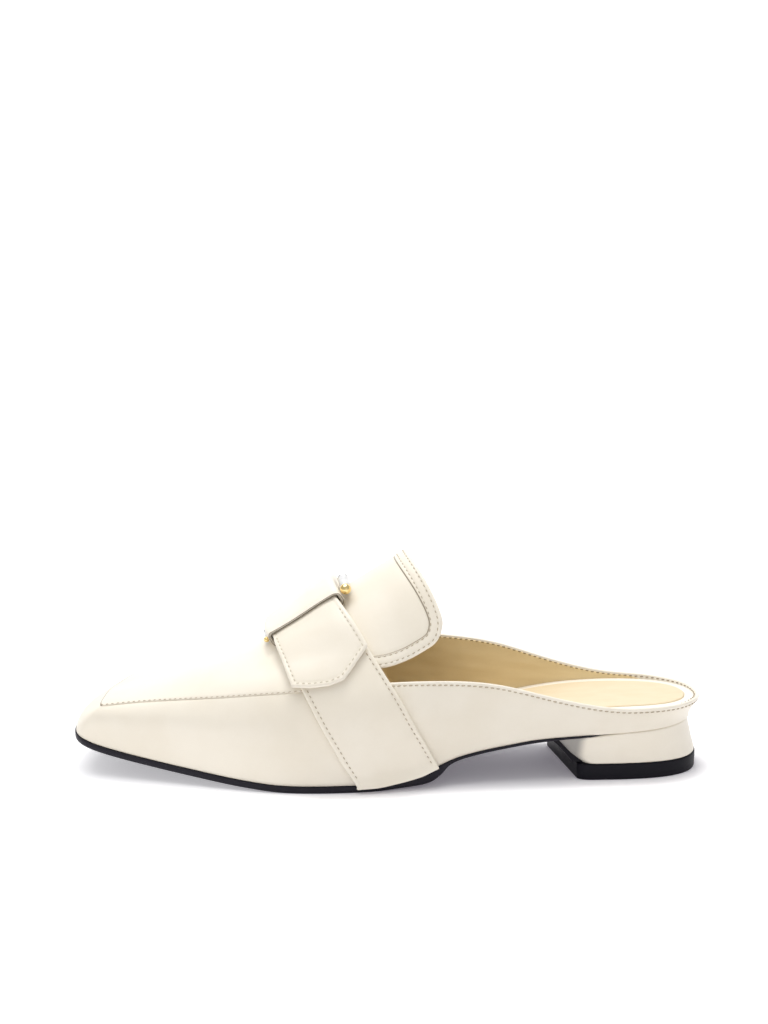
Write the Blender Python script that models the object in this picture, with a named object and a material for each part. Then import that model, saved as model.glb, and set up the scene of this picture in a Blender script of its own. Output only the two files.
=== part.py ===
"""A woman's backless loafer for the left foot: a hollow leather upper, a standing tongue, a saddle strap
with a leather keeper and two ball-ended bars, a footbed with its sock, a thin sole and a low covered heel.

Metres, +Z up. The toe points to -X, the heel to +X, the outer side of the foot to -Y.
The shoe stands on z = 0.
"""

import math

import bmesh
import bpy
import numpy as np

# ---------------------------------------------------------------- driving sizes

WALL = 0.0018            # leather and lining of the upper together
GAP = 0.0003             # clearance kept between pieces that touch
FEATHER_INSET = 0.0006   # the sole shows this much outside the upper
SOLE_EDGE_ROUND = 0.0008
INSOLE_INSET = 0.0030    # from the sole's outline to the footbed's edge
TOE_INSET = 0.0034       # and this much more at the toe, whose wall leans back
SOCK_INSET = 0.0042      # the pale rim of the footbed that the sock leaves bare
HEEL_RIM_LESS = 0.0015   # the rim is this much narrower round the heel
SOCK_THICK = 0.0008
BED_ROUND = 0.0006       # the footbed's rounded edges
STRAP_THICK = 0.0019
SOLE_LAP = 0.0010        # how far the strap's ends lap the sole's edge
KEEPER_THICK = 0.0015
KEEPER_LENGTH = 0.0370   # along the instep, outside to outside
KEEPER_CORNER = 0.0028   # outer radius of its turns
NECK = 0.72              # a bar's neck beside its ball, as a share of the rod
NECK_LENGTH = 0.0004
TONGUE_THICK = 0.0020
TONGUE_HALF = 0.44       # how far down each side it reaches where it lies on the foot, as a place across it
TONGUE_SKEW = 0.0013     # its free edge is this much fuller on the outer side, flatter on the inner side
LIFT_THICK = 0.0068
LIFT_FRONT = 0.0776      # the top lift's front at BREAST_Y
SOLE_END_X = 0.0880      # the sole ends under the seat, a little behind the heel's front
BREAST_SLANT = 0.222     # how far the heel's front runs forward, per metre towards the inner side
BREAST_Y = -0.0206       # the side position at which the heel's front is given

PER_ROW = 3              # sections worked out for each row of the table
WALL_STEPS, DOME_STEPS = 6, 7

# ---------------------------------------------------------------- tables, a row for each section

# Sections of the last from the heel's back (first row) to the toe's tip (last row).
# foot: outline of the sole. edge: the collar's top line, and in front of the strap the seam of the apron.
# axis_x: where the section meets the sole's middle line. crest_x: where it meets the ridge of the instep.
SECTION_COLUMNS = ("foot_x", "outer_y", "inner_y", "outer_edge_x", "outer_edge_y",
                   "outer_edge_z", "inner_edge_x", "inner_edge_y", "inner_edge_z", "axis_x", "crest_x")
SECTIONS = (
    (0.1268, 0.0000, 0.0000, 0.1305, 0.0000, 0.0306, 0.1305, 0.0000, 0.0306, 0.1050, 0.1050),
    (0.1245, -0.0105, 0.0105, 0.1278, -0.0113, 0.0310, 0.1278, 0.0113, 0.0309, 0.1035, 0.1035),
    (0.1178, -0.0188, 0.0188, 0.1198, -0.0198, 0.0309, 0.1198, 0.0197, 0.0316, 0.1000, 0.1000),
    (0.1065, -0.0245, 0.0245, 0.1070, -0.0248, 0.0309, 0.1070, 0.0246, 0.0325, 0.0950, 0.0950),
    (0.0900, -0.0270, 0.0268, 0.0890, -0.0266, 0.0319, 0.0890, 0.0262, 0.0341, 0.0840, 0.0840),
    (0.0700, -0.0281, 0.0266, 0.0660, -0.0274, 0.0367, 0.0660, 0.0258, 0.0402, 0.0690, 0.0690),
    (0.0520, -0.0290, 0.0270, 0.0450, -0.0286, 0.0420, 0.0450, 0.0264, 0.0466, 0.0520, 0.0520),
    (0.0360, -0.0310, 0.0284, 0.0240, -0.0315, 0.0444, 0.0240, 0.0288, 0.0493, 0.0360, 0.0100),
    (0.0210, -0.0338, 0.0310, 0.0020, -0.0352, 0.0451, 0.0020, 0.0330, 0.0495, 0.0210, -0.0170),
    (0.0050, -0.0373, 0.0344, -0.0150, -0.0366, 0.0438, -0.0150, 0.0345, 0.0470, 0.0050, -0.0340),
    (-0.0110, -0.0404, 0.0376, -0.0330, -0.0368, 0.0417, -0.0330, 0.0350, 0.0448, -0.0110, -0.0500),
    (-0.0340, -0.0419, 0.0402, -0.0520, -0.0345, 0.0396, -0.0520, 0.0342, 0.0420, -0.0330, -0.0650),
    (-0.0580, -0.0386, 0.0406, -0.0700, -0.0305, 0.0373, -0.0700, 0.0330, 0.0388, -0.0560, -0.0790),
    (-0.0820, -0.0324, 0.0386, -0.0880, -0.0256, 0.0350, -0.0880, 0.0315, 0.0358, -0.0780, -0.0915),
    (-0.1040, -0.0268, 0.0352, -0.1040, -0.0214, 0.0328, -0.1035, 0.0295, 0.0337, -0.0960, -0.1020),
    (-0.1212, -0.0224, 0.0305, -0.1168, -0.0196, 0.0310, -0.1112, 0.0272, 0.0326, -0.1060, -0.1085),
    (-0.1307, -0.0167, 0.0235, -0.1202, -0.0165, 0.0306, -0.1150, 0.0224, 0.0322, -0.1105, -0.1115),
    (-0.1341, -0.0068, 0.0138, -0.1207, -0.0062, 0.0309, -0.1177, 0.0138, 0.0318, -0.1125, -0.1130),
    (-0.1348, 0.0038, 0.0038, -0.1202, 0.0040, 0.0313, -0.1202, 0.0040, 0.0313, -0.1130, -0.1135),
)
THROAT_ROW = 9           # the vamp ends at this section
STRAP_BACK_ROW = 8.0     # the strap's back edge, about
FULL_LOW, FULL_HIGH = 0.34, 0.42   # how full a section's curves are at its edge line, and at its ends
WALL_LEAN = 0.06             # the wall leaves the sole almost upright
TOE_CORNER_ROWS = (11.0, 14.5)   # over these sections the wall turns into the top by a sharper corner
CORNER_WALL, CORNER_DOME, CORNER_SHIFT = 0.55, 0.45, 0.30   # shares of wall and top in the corner's lean
TOE_INSET_ROWS = (13.5, 17.0)    # over these sections the footbed draws in round the toe
TONGUE_FREE = (0.02, 0.40)   # over these sections behind the strap the tongue lifts off the foot
ARCH_SPREAD = 0.35           # how far the tongue's sides spread
RIDGE_SLOPE = (0.82, 0.0, 0.57)  # direction of the ridge behind the throat
SOLE_LAP_FROM = 0.94         # the strap steps out over the sole's edge from this place across the foot

# The ridge of the instep, from the toe to the top of the tongue.
RIDGE_X, RIDGE_Y, RIDGE_Z = np.array((
    (-0.1140, 0.0040, 0.0332),
    (-0.1020, 0.0042, 0.0361),
    (-0.0915, 0.0045, 0.0390),
    (-0.0790, 0.0048, 0.0427),
    (-0.0650, 0.0050, 0.0470),
    (-0.0560, 0.0050, 0.0508),
    (-0.0500, 0.0050, 0.0542),
    (-0.0430, 0.0050, 0.0590),
    (-0.0340, 0.0050, 0.0656),
    (-0.0220, 0.0048, 0.0740),
    (-0.0170, 0.0046, 0.0768),
    (-0.0050, 0.0042, 0.0840),
    (0.0075, 0.0040, 0.0914),
)).T

# The bottom of the sole and the line where the upper meets it, from the toe to the heel.
SOLE_X, SOLE_BOTTOM, SOLE_TOP = np.array((
    (-0.1350, 0.0149, 0.0181),
    (-0.1200, 0.0110, 0.0142),
    (-0.1000, 0.0072, 0.0104),
    (-0.0780, 0.0039, 0.0071),
    (-0.0580, 0.0014, 0.0046),
    (-0.0420, 0.0001, 0.0033),
    (-0.0340, 0.0000, 0.0032),
    (-0.0050, 0.0000, 0.0032),
    (0.0040, 0.0006, 0.0042),
    (0.0136, 0.0014, 0.0062),
    (0.0176, 0.0023, 0.0078),
    (0.0217, 0.0049, 0.0095),
    (0.0258, 0.0092, 0.0113),
    (0.0298, 0.0111, 0.0127),
    (0.0380, 0.0131, 0.0146),
    (0.0480, 0.0150, 0.0164),
    (0.0620, 0.0173, 0.0187),
    (0.0780, 0.0190, 0.0200),
    (0.0880, 0.0198, 0.0205),
    (0.1020, 0.0208, 0.0212),
    (0.1280, 0.0222, 0.0226),
)).T

# The top of the footbed.
BED_X, BED_TOP = np.array((
    (-0.1250, 0.0196),
    (-0.1000, 0.0144),
    (-0.0600, 0.0088),
    (-0.0200, 0.0076),
    (0.0100, 0.0102),
    (0.0300, 0.0172),
    (0.0500, 0.0240),
    (0.0700, 0.0281),
    (0.0900, 0.0296),
    (0.1280, 0.0300),
)).T

# How much further out the footbed's top reaches round the heel, where the upper leans out.
BED_ROW, BED_OUT = np.array((
    (0.0, 0.0034),
    (1.0, 0.0029),
    (2.0, 0.0019),
    (3.0, 0.0007),
    (4.0, 0.0001),
    (5.0, 0.0001),
)).T
BED_LOW_SHARE = 0.2      # the share of that at half height

# The tongue behind the throat: the section, the ridge point, then the outer and the inner side's edge point.
TONGUE_COLUMNS = ("row", "ridge_x", "ridge_y", "ridge_z",
                  "outer_x", "outer_y", "outer_z", "inner_x", "inner_y", "inner_z")
TONGUE = (
    (8.96, -0.0333, 0.0050, 0.0660, -0.0142, -0.0345, 0.0470, -0.0200, 0.0325, 0.0498),
    (8.00, -0.0170, 0.0046, 0.0768, -0.0004, -0.0318, 0.0519, -0.0068, 0.0305, 0.0535),
    (7.63, -0.0070, 0.0043, 0.0828, 0.0090, -0.0297, 0.0530, 0.0022, 0.0297, 0.0546),
    (7.33, 0.0010, 0.0041, 0.0876, 0.0172, -0.0285, 0.0574, 0.0095, 0.0290, 0.0588),
    (7.16, 0.0055, 0.0040, 0.0902, 0.0217, -0.0272, 0.0622, 0.0137, 0.0282, 0.0635),
    (7.08, 0.0075, 0.0040, 0.0914, 0.0226, -0.0262, 0.0676, 0.0146, 0.0272, 0.0688),
)

# The strap's back and front edges, as sections, by its place across the foot:
# -1 at the outer side's sole, 0 on the ridge, 1 at the inner side's sole.
STRAP_WAY, STRAP_BACK, STRAP_FRONT = np.array((
    (-1.00, 8.00, 10.05),
    (-0.93, 8.11, 10.19),
    (-0.85, 8.16, 10.24),
    (-0.76, 8.14, 10.215),
    (-0.66, 8.06, 10.13),
    (-0.58, 8.01, 10.05),
    (-0.50, 8.02, 10.00),
    (-0.42, 8.06, 9.96),
    (-0.32, 8.10, 9.92),
    (-0.22, 8.13, 9.865),
    (-0.15, 8.19, 9.835),
    (0.00, 8.29, 9.825),
    (0.12, 8.35, 9.82),
    (0.32, 8.32, 10.04),
    (0.50, 8.36, 10.24),
    (1.00, 8.42, 10.40),
)).T

# The tab: its back and front edges as sections, and its lower end by the share of its width from the back.
TAB_WAY, TAB_BACK, TAB_FRONT = np.array((
    (-0.52, 8.07, 10.18),
    (-0.41, 8.07, 10.09),
    (-0.32, 8.08, 9.99),
    (-0.20, 8.14, 9.86),
)).T
TAB_START = -0.20
TAB_SHARE, TAB_END = np.array((
    (0.00, -0.362),
    (0.45, -0.481),
    (0.63, -0.499),
    (0.82, -0.501),
    (1.00, -0.491),
)).T

# The keeper's back and front ends as sections, by place across the foot.
KEEPER_WAY, KEEPER_BACK, KEEPER_FRONT = np.array((
    (-0.25, 8.03, 9.97),
    (-0.15, 8.085, 9.95),
    (0.00, 8.18, 9.93),
    (0.20, 8.27, 9.95),
)).T
KEEPER_OUTER_WAY = (-0.148, -0.186)   # its outer cut edge, at the back and at the front
KEEPER_INNER_WAY = 0.090
# The places across the foot over which the strap rises on to the keeper's lower wall, and leaves it.
KEEPER_SLOPE = ((-0.38, -0.23), (0.14, 0.30))

# The bars: ball centres, outer and inner, then the ball's and the rod's radius.
BARS = {
    "bar_front": ((-0.0504, -0.0085, 0.0562), (-0.0526, 0.0080, 0.0556), 0.0012, 0.0008),
    "bar_rear": ((-0.0168, -0.0120, 0.0782), (-0.0192, 0.0060, 0.0789), 0.0023, 0.0021),
}

# The front of the heel at BREAST_Y, down from the sole: the black flap's front and back.
FLAP_COLUMNS = ("z", "front_x", "back_x")
FLAP = (
    (0.0184, 0.0630, 0.0690),
    (0.0170, 0.0668, 0.0697),
    (0.0145, 0.0698, 0.0720),
    (0.0110, 0.0730, 0.0752),
    (0.0088, 0.0748, 0.0780),
    (0.0071, 0.0760, 0.0804),
)

# The heel's sides at the same heights as the flap: how far they lie inside the sole's outline, by section.
HEEL_ROW = (0.0, 1.0, 2.0, 3.0, 4.0, 5.0, 6.0)
HEEL_INSETS = (
    (0.0010, 0.0010, 0.0010, 0.0008, 0.0008, 0.0014, 0.0016),
    (0.0010, 0.0010, 0.0010, 0.0009, 0.0012, 0.0020, 0.0024),
    (0.0003, 0.0004, 0.0008, 0.0012, 0.0018, 0.0028, 0.0032),
    (-0.0008, -0.0005, 0.0006, 0.0018, 0.0027, 0.0036, 0.0040),
    (-0.0017, -0.0012, 0.0004, 0.0021, 0.0030, 0.0038, 0.0042),
    (-0.0023, -0.0017, 0.0003, 0.0023, 0.0030, 0.0036, 0.0040),
)


# The heel's front corners at the same heights: how far behind the front they begin, and how far in they end.
CORNER_LENGTH = (0.0070, 0.0080, 0.0085, 0.0075, 0.0062, 0.0055)
CORNER_DEPTH = (0.0026, 0.0036, 0.0042, 0.0036, 0.0032, 0.0030)
CORNER_ROWS = 0.45       # the sections over which a corner is drawn finely
CORNER_STEPS = (0.0, 0.35, 0.65, 0.85, 1.0)

LIFT_INSETS = tuple(inset - 0.0006 for inset in HEEL_INSETS[-1])   # the top lift stands just proud
LIFT_ROUND = 0.0004

# ---------------------------------------------------------------- curves and surfaces of the last


def closed_spline(values, at):
    """A smooth closed curve through evenly spaced values, read at any place along them."""
    values = np.asarray(values, float)
    count = len(values)
    matrix = 4.0 * np.eye(count) + np.roll(np.eye(count), 1, 0) + np.roll(np.eye(count), -1, 0)
    bend = np.linalg.solve(matrix, 6.0 * (np.roll(values, -1) - 2.0 * values + np.roll(values, 1)))
    at = np.asarray(at, float)
    first = np.floor(at).astype(int)
    part = at - first
    a, b = first % count, (first + 1) % count
    rest = 1.0 - part
    return (values[a] * rest + values[b] * part
            + ((rest ** 3 - rest) * bend[a] + (part ** 3 - part) * bend[b]) / 6.0)


def open_spline(xs, values, at):
    """A smooth natural curve through values at rising places xs."""
    xs, values = np.asarray(xs, float), np.asarray(values, float)
    count = len(xs)
    step = np.diff(xs)
    matrix = np.eye(count)
    right = np.zeros(count)
    for k in range(1, count - 1):
        matrix[k, k - 1:k + 2] = step[k - 1], 2.0 * (step[k - 1] + step[k]), step[k]
        right[k] = 6.0 * ((values[k + 1] - values[k]) / step[k] - (values[k] - values[k - 1]) / step[k - 1])
    bend = np.linalg.solve(matrix, right)
    at = np.clip(np.asarray(at, float), xs[0], xs[-1])
    k = np.clip(np.searchsorted(xs, at) - 1, 0, count - 2)
    part = (at - xs[k]) / step[k]
    rest = 1.0 - part
    return (values[k] * rest + values[k + 1] * part
            + ((rest ** 3 - rest) * bend[k] + (part ** 3 - part) * bend[k + 1]) * step[k] ** 2 / 6.0)


COLUMN = {name: np.array([row[k] for row in SECTIONS]) for k, name in enumerate(SECTION_COLUMNS)}
LAST_ROW = len(SECTIONS) - 1


def around(outer, inner, row):
    """A column at row > 0 on the outer side and at row < 0 on the inner side, smooth round heel and toe."""
    loop = np.concatenate([COLUMN[outer], COLUMN[inner][-2:0:-1]])
    return closed_spline(loop, row)


def points(x, y, z):
    return np.stack(np.broadcast_arrays(x, y, z), -1)


def foot(row, inset=0.0):
    """Plan point of the sole's outline at a section, moved inwards by inset."""
    step = 0.02
    here = np.stack([around("foot_x", "foot_x", row), around("outer_y", "inner_y", row)], -1)
    ahead = np.stack([around("foot_x", "foot_x", row + step), around("outer_y", "inner_y", row + step)], -1)
    behind = np.stack([around("foot_x", "foot_x", row - step), around("outer_y", "inner_y", row - step)], -1)
    along = ahead - behind
    along /= np.linalg.norm(along, axis=-1, keepdims=True)
    inwards = np.stack([along[..., 1], -along[..., 0]], -1)
    return here + np.asarray(inset)[..., None] * inwards


def edge(row):
    """Collar top line or apron seam at a section."""
    return points(around("outer_edge_x", "inner_edge_x", row), around("outer_edge_y", "inner_edge_y", row),
                  around("outer_edge_z", "inner_edge_z", row))


def ridge(x):
    """Point of the instep's ridge above x."""
    return points(x, open_spline(RIDGE_X, RIDGE_Y, x), open_spline(RIDGE_X, RIDGE_Z, x))


def axis(row):
    """Plan point where a section meets the sole's middle line."""
    x = around("axis_x", "axis_x", row)
    return np.stack([x, open_spline(RIDGE_X, RIDGE_Y, x) * np.clip((0.02 - x) / 0.06, 0.0, 1.0)], -1)


def unit(vectors):
    return vectors / np.maximum(np.linalg.norm(vectors, axis=-1, keepdims=True), 1e-12)


def bezier(p0, p1, p2, p3, t):
    s = 1.0 - t
    return s ** 3 * p0 + 3 * s * s * t * p1 + 3 * s * t * t * p2 + t ** 3 * p3


def crest_direction(row):
    """Direction across the ridge, along the section, with the ridge's own slope where it runs lengthwise."""
    plan = unit(axis(row) - foot(row))
    x = around("crest_x", "crest_x", row)
    slope = (ridge(x + 0.001)[..., 2] - ridge(x - 0.001)[..., 2]) / 0.002
    return unit(points(plan[..., 0], plan[..., 1], plan[..., 0] * slope))


def form(row, rise):
    """Outer surface of the upper: rise 0 at the sole, 0.5 at the edge line, 1 at the ridge."""
    row, rise = np.broadcast_arrays(np.asarray(row, float), np.asarray(rise, float))
    base = foot(row, FEATHER_INSET)
    bottom = points(base[..., 0], base[..., 1], np.interp(base[..., 0], SOLE_X, SOLE_TOP))
    top = edge(row)
    crest = ridge(around("crest_x", "crest_x", row))
    wall, dome = top - bottom, crest - top
    corner = blend(np.abs(row), *TOE_CORNER_ROWS)[..., None] * CORNER_SHIFT
    lean = unit(unit(wall) * (CORNER_WALL - corner) + unit(dome) * (CORNER_DOME + corner))
    quarter = np.clip((THROAT_ROW - 1.2 - np.abs(row)) / 1.0, 0.0, 1.0)[..., None]
    lean = unit(lean * (1.0 - quarter) + unit(wall) * quarter)
    height = np.linalg.norm(wall, axis=-1, keepdims=True)
    reach = np.linalg.norm(dome, axis=-1, keepdims=True)
    upright = points(WALL_LEAN * wall[..., 0], 0.0, wall[..., 2])
    t = np.clip(2.0 * rise, 0.0, 1.0)[..., None]
    low = bezier(bottom, bottom + FULL_HIGH * upright, top - FULL_LOW * height * lean, top, t)
    t = np.clip(2.0 * rise - 1.0, 0.0, 1.0)[..., None]
    towards = crest - FULL_HIGH * reach * crest_direction(row)
    high = bezier(top, top + FULL_LOW * reach * lean, towards, crest, t)
    return np.where(rise[..., None] <= 0.5, low, high)


def across(row, way):
    """The form along a section, way -1 at the outer side's sole, 0 at the ridge, 1 at the inner sole."""
    row, way = np.broadcast_arrays(np.asarray(row, float), np.asarray(way, float))
    return form(np.where(way <= 0.0, row, -row), 1.0 - np.abs(way))


def across_normal(row, way):
    """Outward direction of the form at across(row, way)."""
    along = across(row + 0.05, way) - across(row - 0.05, way)
    over = across(row, np.clip(way + 0.02, -1.0, 1.0)) - across(row, np.clip(way - 0.02, -1.0, 1.0))
    return unit(np.cross(over, along))


def off_form(row, way, distance):
    """A point at a distance outside the form."""
    row, way = np.broadcast_arrays(np.asarray(row, float), np.asarray(way, float))
    return across(row, way) + across_normal(row, way) * np.broadcast_to(distance, row.shape)[..., None]


def blend(value, start, end):
    """0 before start, 1 after end, smooth between."""
    t = np.clip((np.asarray(value, float) - start) / (end - start), 0.0, 1.0)
    return t * t * (3.0 - 2.0 * t)


# ---------------------------------------------------------------- meshes


def material(name, colour, roughness, metallic=0.0):
    made = bpy.data.materials.new(name)
    made.use_nodes = True
    shader = made.node_tree.nodes["Principled BSDF"]
    shader.inputs["Base Color"].default_value = (*colour, 1.0)
    shader.inputs["Roughness"].default_value = roughness
    shader.inputs["Metallic"].default_value = metallic
    made.diffuse_color = (*colour, 1.0)
    return made


def add_object(name, vertices, faces, finish):
    """A named object from points and faces, with its faces turned outwards."""
    mesh = bpy.data.meshes.new(name)
    mesh.from_pydata([tuple(v) for v in vertices], [], [tuple(int(i) for i in f) for f in faces])
    work = bmesh.new()
    work.from_mesh(mesh)
    bmesh.ops.recalc_face_normals(work, faces=work.faces)
    work.to_mesh(mesh)
    work.free()
    mesh.shade_smooth()
    mesh.set_sharp_from_angle(angle=math.radians(40))
    mesh.materials.append(finish)
    made = bpy.data.objects.new(name, mesh)
    bpy.context.scene.collection.objects.link(made)
    return made


def grid_faces(rows, columns, start=0, closed=False):
    """Quads of a grid of points stored row by row, each row closed on itself or not."""
    across_count = columns if closed else columns - 1
    return [(start + r * columns + c, start + r * columns + (c + 1) % columns,
             start + (r + 1) * columns + (c + 1) % columns, start + (r + 1) * columns + c)
            for r in range(rows - 1) for c in range(across_count)]


def slab(name, low, high, finish):
    """A closed sheet between two grids of points of the same size."""
    rows, columns = low.shape[:2]
    count = rows * columns
    faces = grid_faces(rows, columns)
    faces += grid_faces(rows, columns, count)
    rim = [c for c in range(columns)]
    rim += [r * columns + columns - 1 for r in range(1, rows)]
    rim += [(rows - 1) * columns + c for c in range(columns - 2, -1, -1)]
    rim += [r * columns for r in range(rows - 2, 0, -1)]
    faces += [(a, b, b + count, a + count) for a, b in zip(rim, rim[1:] + rim[:1])]
    return add_object(name, np.concatenate([low.reshape(-1, 3), high.reshape(-1, 3)]), faces, finish)


def tube(name, rings, finish):
    """A closed solid from rings of points, with both end rings filled."""
    rows, columns = rings.shape[:2]
    faces = grid_faces(rows, columns, closed=True)
    faces += [tuple(range(columns)), tuple((rows - 1) * columns + c for c in range(columns))]
    return add_object(name, rings.reshape(-1, 3), faces, finish)


def plate(name, layers, shares, finish, toe_inset=0.0):
    """A closed plate on the sole's sections.

    Each layer is (inset, height, heel_out): the inset of its outline, a function of plan x that gives its
    height, and the share of BED_OUT by which it reaches out round the heel. The toe lies toe_inset further
    in. The first and last layers are filled from their outline to the sole's middle line at the shares.
    """
    rows = np.linspace(0.0, LAST_ROW, LAST_ROW * PER_ROW + 1)
    loop = np.concatenate([rows, -rows[-2:0:-1]])
    columns = len(loop)
    mirror = [(columns - k) % columns for k in range(columns)]
    vertices, faces = [], []

    def ring(inset, height, heel_out, share):
        inset = inset - heel_out * open_spline(BED_ROW, BED_OUT, np.abs(loop))
        plan = foot(loop, inset + toe_inset * blend(np.abs(loop), *TOE_INSET_ROWS))
        plan = plan + (axis(loop) - plan) * share
        vertices.extend(points(plan[:, 0], plan[:, 1], height(plan[:, 0])))
        return [len(vertices) - columns + k for k in range(columns)]

    def middle(height):
        plan = axis(rows)
        vertices.extend(points(plan[:, 0], plan[:, 1], height(plan[:, 0])))
        first = len(vertices) - len(rows)
        return [first + min(k, mirror[k]) for k in range(columns)]

    def join(one, other):
        for k in range(columns):
            corners = (one[k], one[(k + 1) % columns], other[(k + 1) % columns], other[k])
            faces.append(tuple(dict.fromkeys(corners)))

    rings = [middle(layers[0][1])]
    rings += [ring(*layers[0], share) for share in reversed(shares)]
    rings += [ring(*layer, 0.0) for layer in layers]
    rings += [ring(*layers[-1], share) for share in shares]
    rings += [middle(layers[-1][1])]
    for one, other in zip(rings, rings[1:]):
        join(one, other)
    return add_object(name, vertices, faces, finish)


def boolean(target, other, operation):
    """Joins or cuts target with other, and removes other."""
    modifier = target.modifiers.new(operation.title(), "BOOLEAN")
    modifier.operation = operation
    modifier.object = other
    modifier.solver = "EXACT"
    graph = bpy.context.evaluated_depsgraph_get()
    result = bpy.data.meshes.new_from_object(target.evaluated_get(graph))
    target.modifiers.clear()
    target.data = result
    bpy.data.objects.remove(other)


# ---------------------------------------------------------------- the pieces


def build_upper(finish):
    """The hollow upper: quarters up to the collar, vamp and apron up to the ridge, one wall thick."""
    rows = np.linspace(0.0, LAST_ROW, LAST_ROW * PER_ROW + 1)
    loop = np.concatenate([rows, -rows[-2:0:-1]])
    columns = len(loop)
    wall = form(loop[None, :], np.linspace(0.0, 0.5, WALL_STEPS + 1)[:, None])
    vertices = list(wall.reshape(-1, 3))
    faces = grid_faces(WALL_STEPS + 1, columns, closed=True)

    vamp = [k for k in range(columns) if abs(loop[k]) >= THROAT_ROW - 1e-9]
    below = {k: WALL_STEPS * columns + k for k in vamp}
    for step in range(1, DOME_STEPS + 1):
        here = {}
        for k in vamp:
            twin = (columns - k) % columns
            if step == DOME_STEPS and twin in here:
                here[k] = here[twin]
                continue
            here[k] = len(vertices)
            vertices.append(form(loop[k], 0.5 + 0.5 * step / DOME_STEPS))
        for a, b in zip(vamp, vamp[1:]):
            faces.append(tuple(dict.fromkeys((below[a], below[b], here[b], here[a]))))
        below = here
    upper = add_object("upper", vertices, faces, finish)
    solid = upper.modifiers.new("Wall", "SOLIDIFY")
    solid.thickness = WALL
    solid.offset = -1.0
    solid.use_even_offset = True
    solid.use_quality_normals = True
    return upper


def sole_bottom(x):
    return np.interp(x, SOLE_X, SOLE_BOTTOM)


def sole_top(x):
    return np.interp(x, SOLE_X, SOLE_TOP) - GAP


def build_outsole(finish):
    """The thin sole, ended under the heel's seat, with its flap down the heel's front."""
    layers = ((SOLE_EDGE_ROUND, sole_bottom, 0.0),
              (0.0, lambda x: sole_bottom(x) + 0.4 * (sole_top(x) - sole_bottom(x)), 0.0),
              (0.0, sole_top, 0.0))
    sole = plate("outsole", layers, (0.5,), finish)
    box = np.array([[[x, y, z] for y in (-0.04, 0.04)] for x in (SOLE_END_X, 0.14) for z in (0.0,)])
    boolean(sole, slab("cutter", box, box + (0.0, 0.0, 0.05), finish), "DIFFERENCE")
    boolean(sole, build_flap(finish), "UNION")
    return sole


def bed_top(x):
    return open_spline(BED_X, BED_TOP, x)


def build_insole(finish):
    layers = ((INSOLE_INSET + BED_ROUND, lambda x: sole_top(x) + GAP, 0.0),
              (INSOLE_INSET, lambda x: sole_top(x) * 0.6 + bed_top(x) * 0.4, BED_LOW_SHARE),
              (INSOLE_INSET, lambda x: bed_top(x) - BED_ROUND, 1.0),
              (INSOLE_INSET + BED_ROUND, bed_top, 1.0))
    return plate("insole", layers, (0.5,), finish, TOE_INSET)


def build_sock(finish):
    inset = INSOLE_INSET + SOCK_INSET
    heel_out = 1.0 + HEEL_RIM_LESS / BED_OUT[0]
    layers = ((inset, lambda x: bed_top(x) + GAP, heel_out),
              (inset, lambda x: bed_top(x) + GAP + SOCK_THICK, heel_out))
    return plate("sock", layers, (), finish, TOE_INSET)


def column(table, columns, name):
    return np.array([row[columns.index(name)] for row in table])


def grid_normals(grid):
    """Directions across a grid of points, at each of its points."""
    return unit(np.cross(np.gradient(grid, axis=1), np.gradient(grid, axis=0)))


def build_tongue(finish):
    """The tongue: one arch behind another, from the throat to its square top."""
    at = column(TONGUE, TONGUE_COLUMNS, "row")[::-1]
    free_rows = at[0] + (at[-2] - at[0]) * np.linspace(1.0, 0.0, 10) ** 1.5
    rows = np.concatenate([np.linspace(at[-1], at[-2], 6)[:-1], free_rows])
    share = np.linspace(-1.0, 1.0, 15)

    def spine(side):
        return np.stack([open_spline(at, column(TONGUE, TONGUE_COLUMNS, side + axis_name)[::-1], rows)
                         for axis_name in ("_x", "_y", "_z")], -1)[:, None, :]

    top = spine("ridge")
    arches = []
    for side, sign in (("outer", -1.0), ("inner", 1.0)):
        low = spine(side)
        reach = np.linalg.norm(top - low, axis=-1, keepdims=True)
        up = unit(unit(top - low) + (0.0, ARCH_SPREAD * sign, ARCH_SPREAD))
        t = np.clip(1.0 - sign * share, 0.0, 1.0)[None, :, None]
        level = top + (0.0, FULL_HIGH * sign, 0.0) * reach
        arch = bezier(low, low + FULL_LOW * reach * up, level, top, t)
        arches.append(arch - 4.0 * t * (1.0 - t) * sign * TONGUE_SKEW * np.array(RIDGE_SLOPE))
    free = np.where(share[None, :, None] < 0.0, arches[0], arches[1])
    under = off_form(rows[:, None], TONGUE_HALF * share[None, :], -0.0001)
    weight = blend(STRAP_BACK_ROW - rows, *TONGUE_FREE)[:, None, None]
    face = under * (1.0 - weight) + free * weight
    return slab("tongue", face - TONGUE_THICK * outward(face), face, finish)


def outward(grid):
    """Grid normals turned to point away from the foot."""
    normals = grid_normals(grid)
    return normals * np.sign(normals[len(normals) // 2, grid.shape[1] // 2, 2])


def strap_lift(way):
    """Height of the strap's outer layer over the form: raised where the keeper passes beneath it."""
    way = np.asarray(way)
    over_keeper = blend(way, *KEEPER_SLOPE[0]) * (1.0 - blend(way, *KEEPER_SLOPE[1]))
    return GAP + (KEEPER_THICK + GAP) * over_keeper + SOLE_LAP * blend(np.abs(way), SOLE_LAP_FROM, 1.0)


def strap_row(way, share):
    back = open_spline(STRAP_WAY, STRAP_BACK, way)
    front = open_spline(STRAP_WAY, STRAP_FRONT, way)
    return back + share * (front - back)


def strap_end(grid, share):
    """Adds the strap's last row of points, which laps the edge of the sole, most of all in front."""
    return np.concatenate([grid, grid[-1:] - points(0.0, 0.0, SOLE_LAP * (0.1 + 0.9 * share ** 2))])


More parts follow.
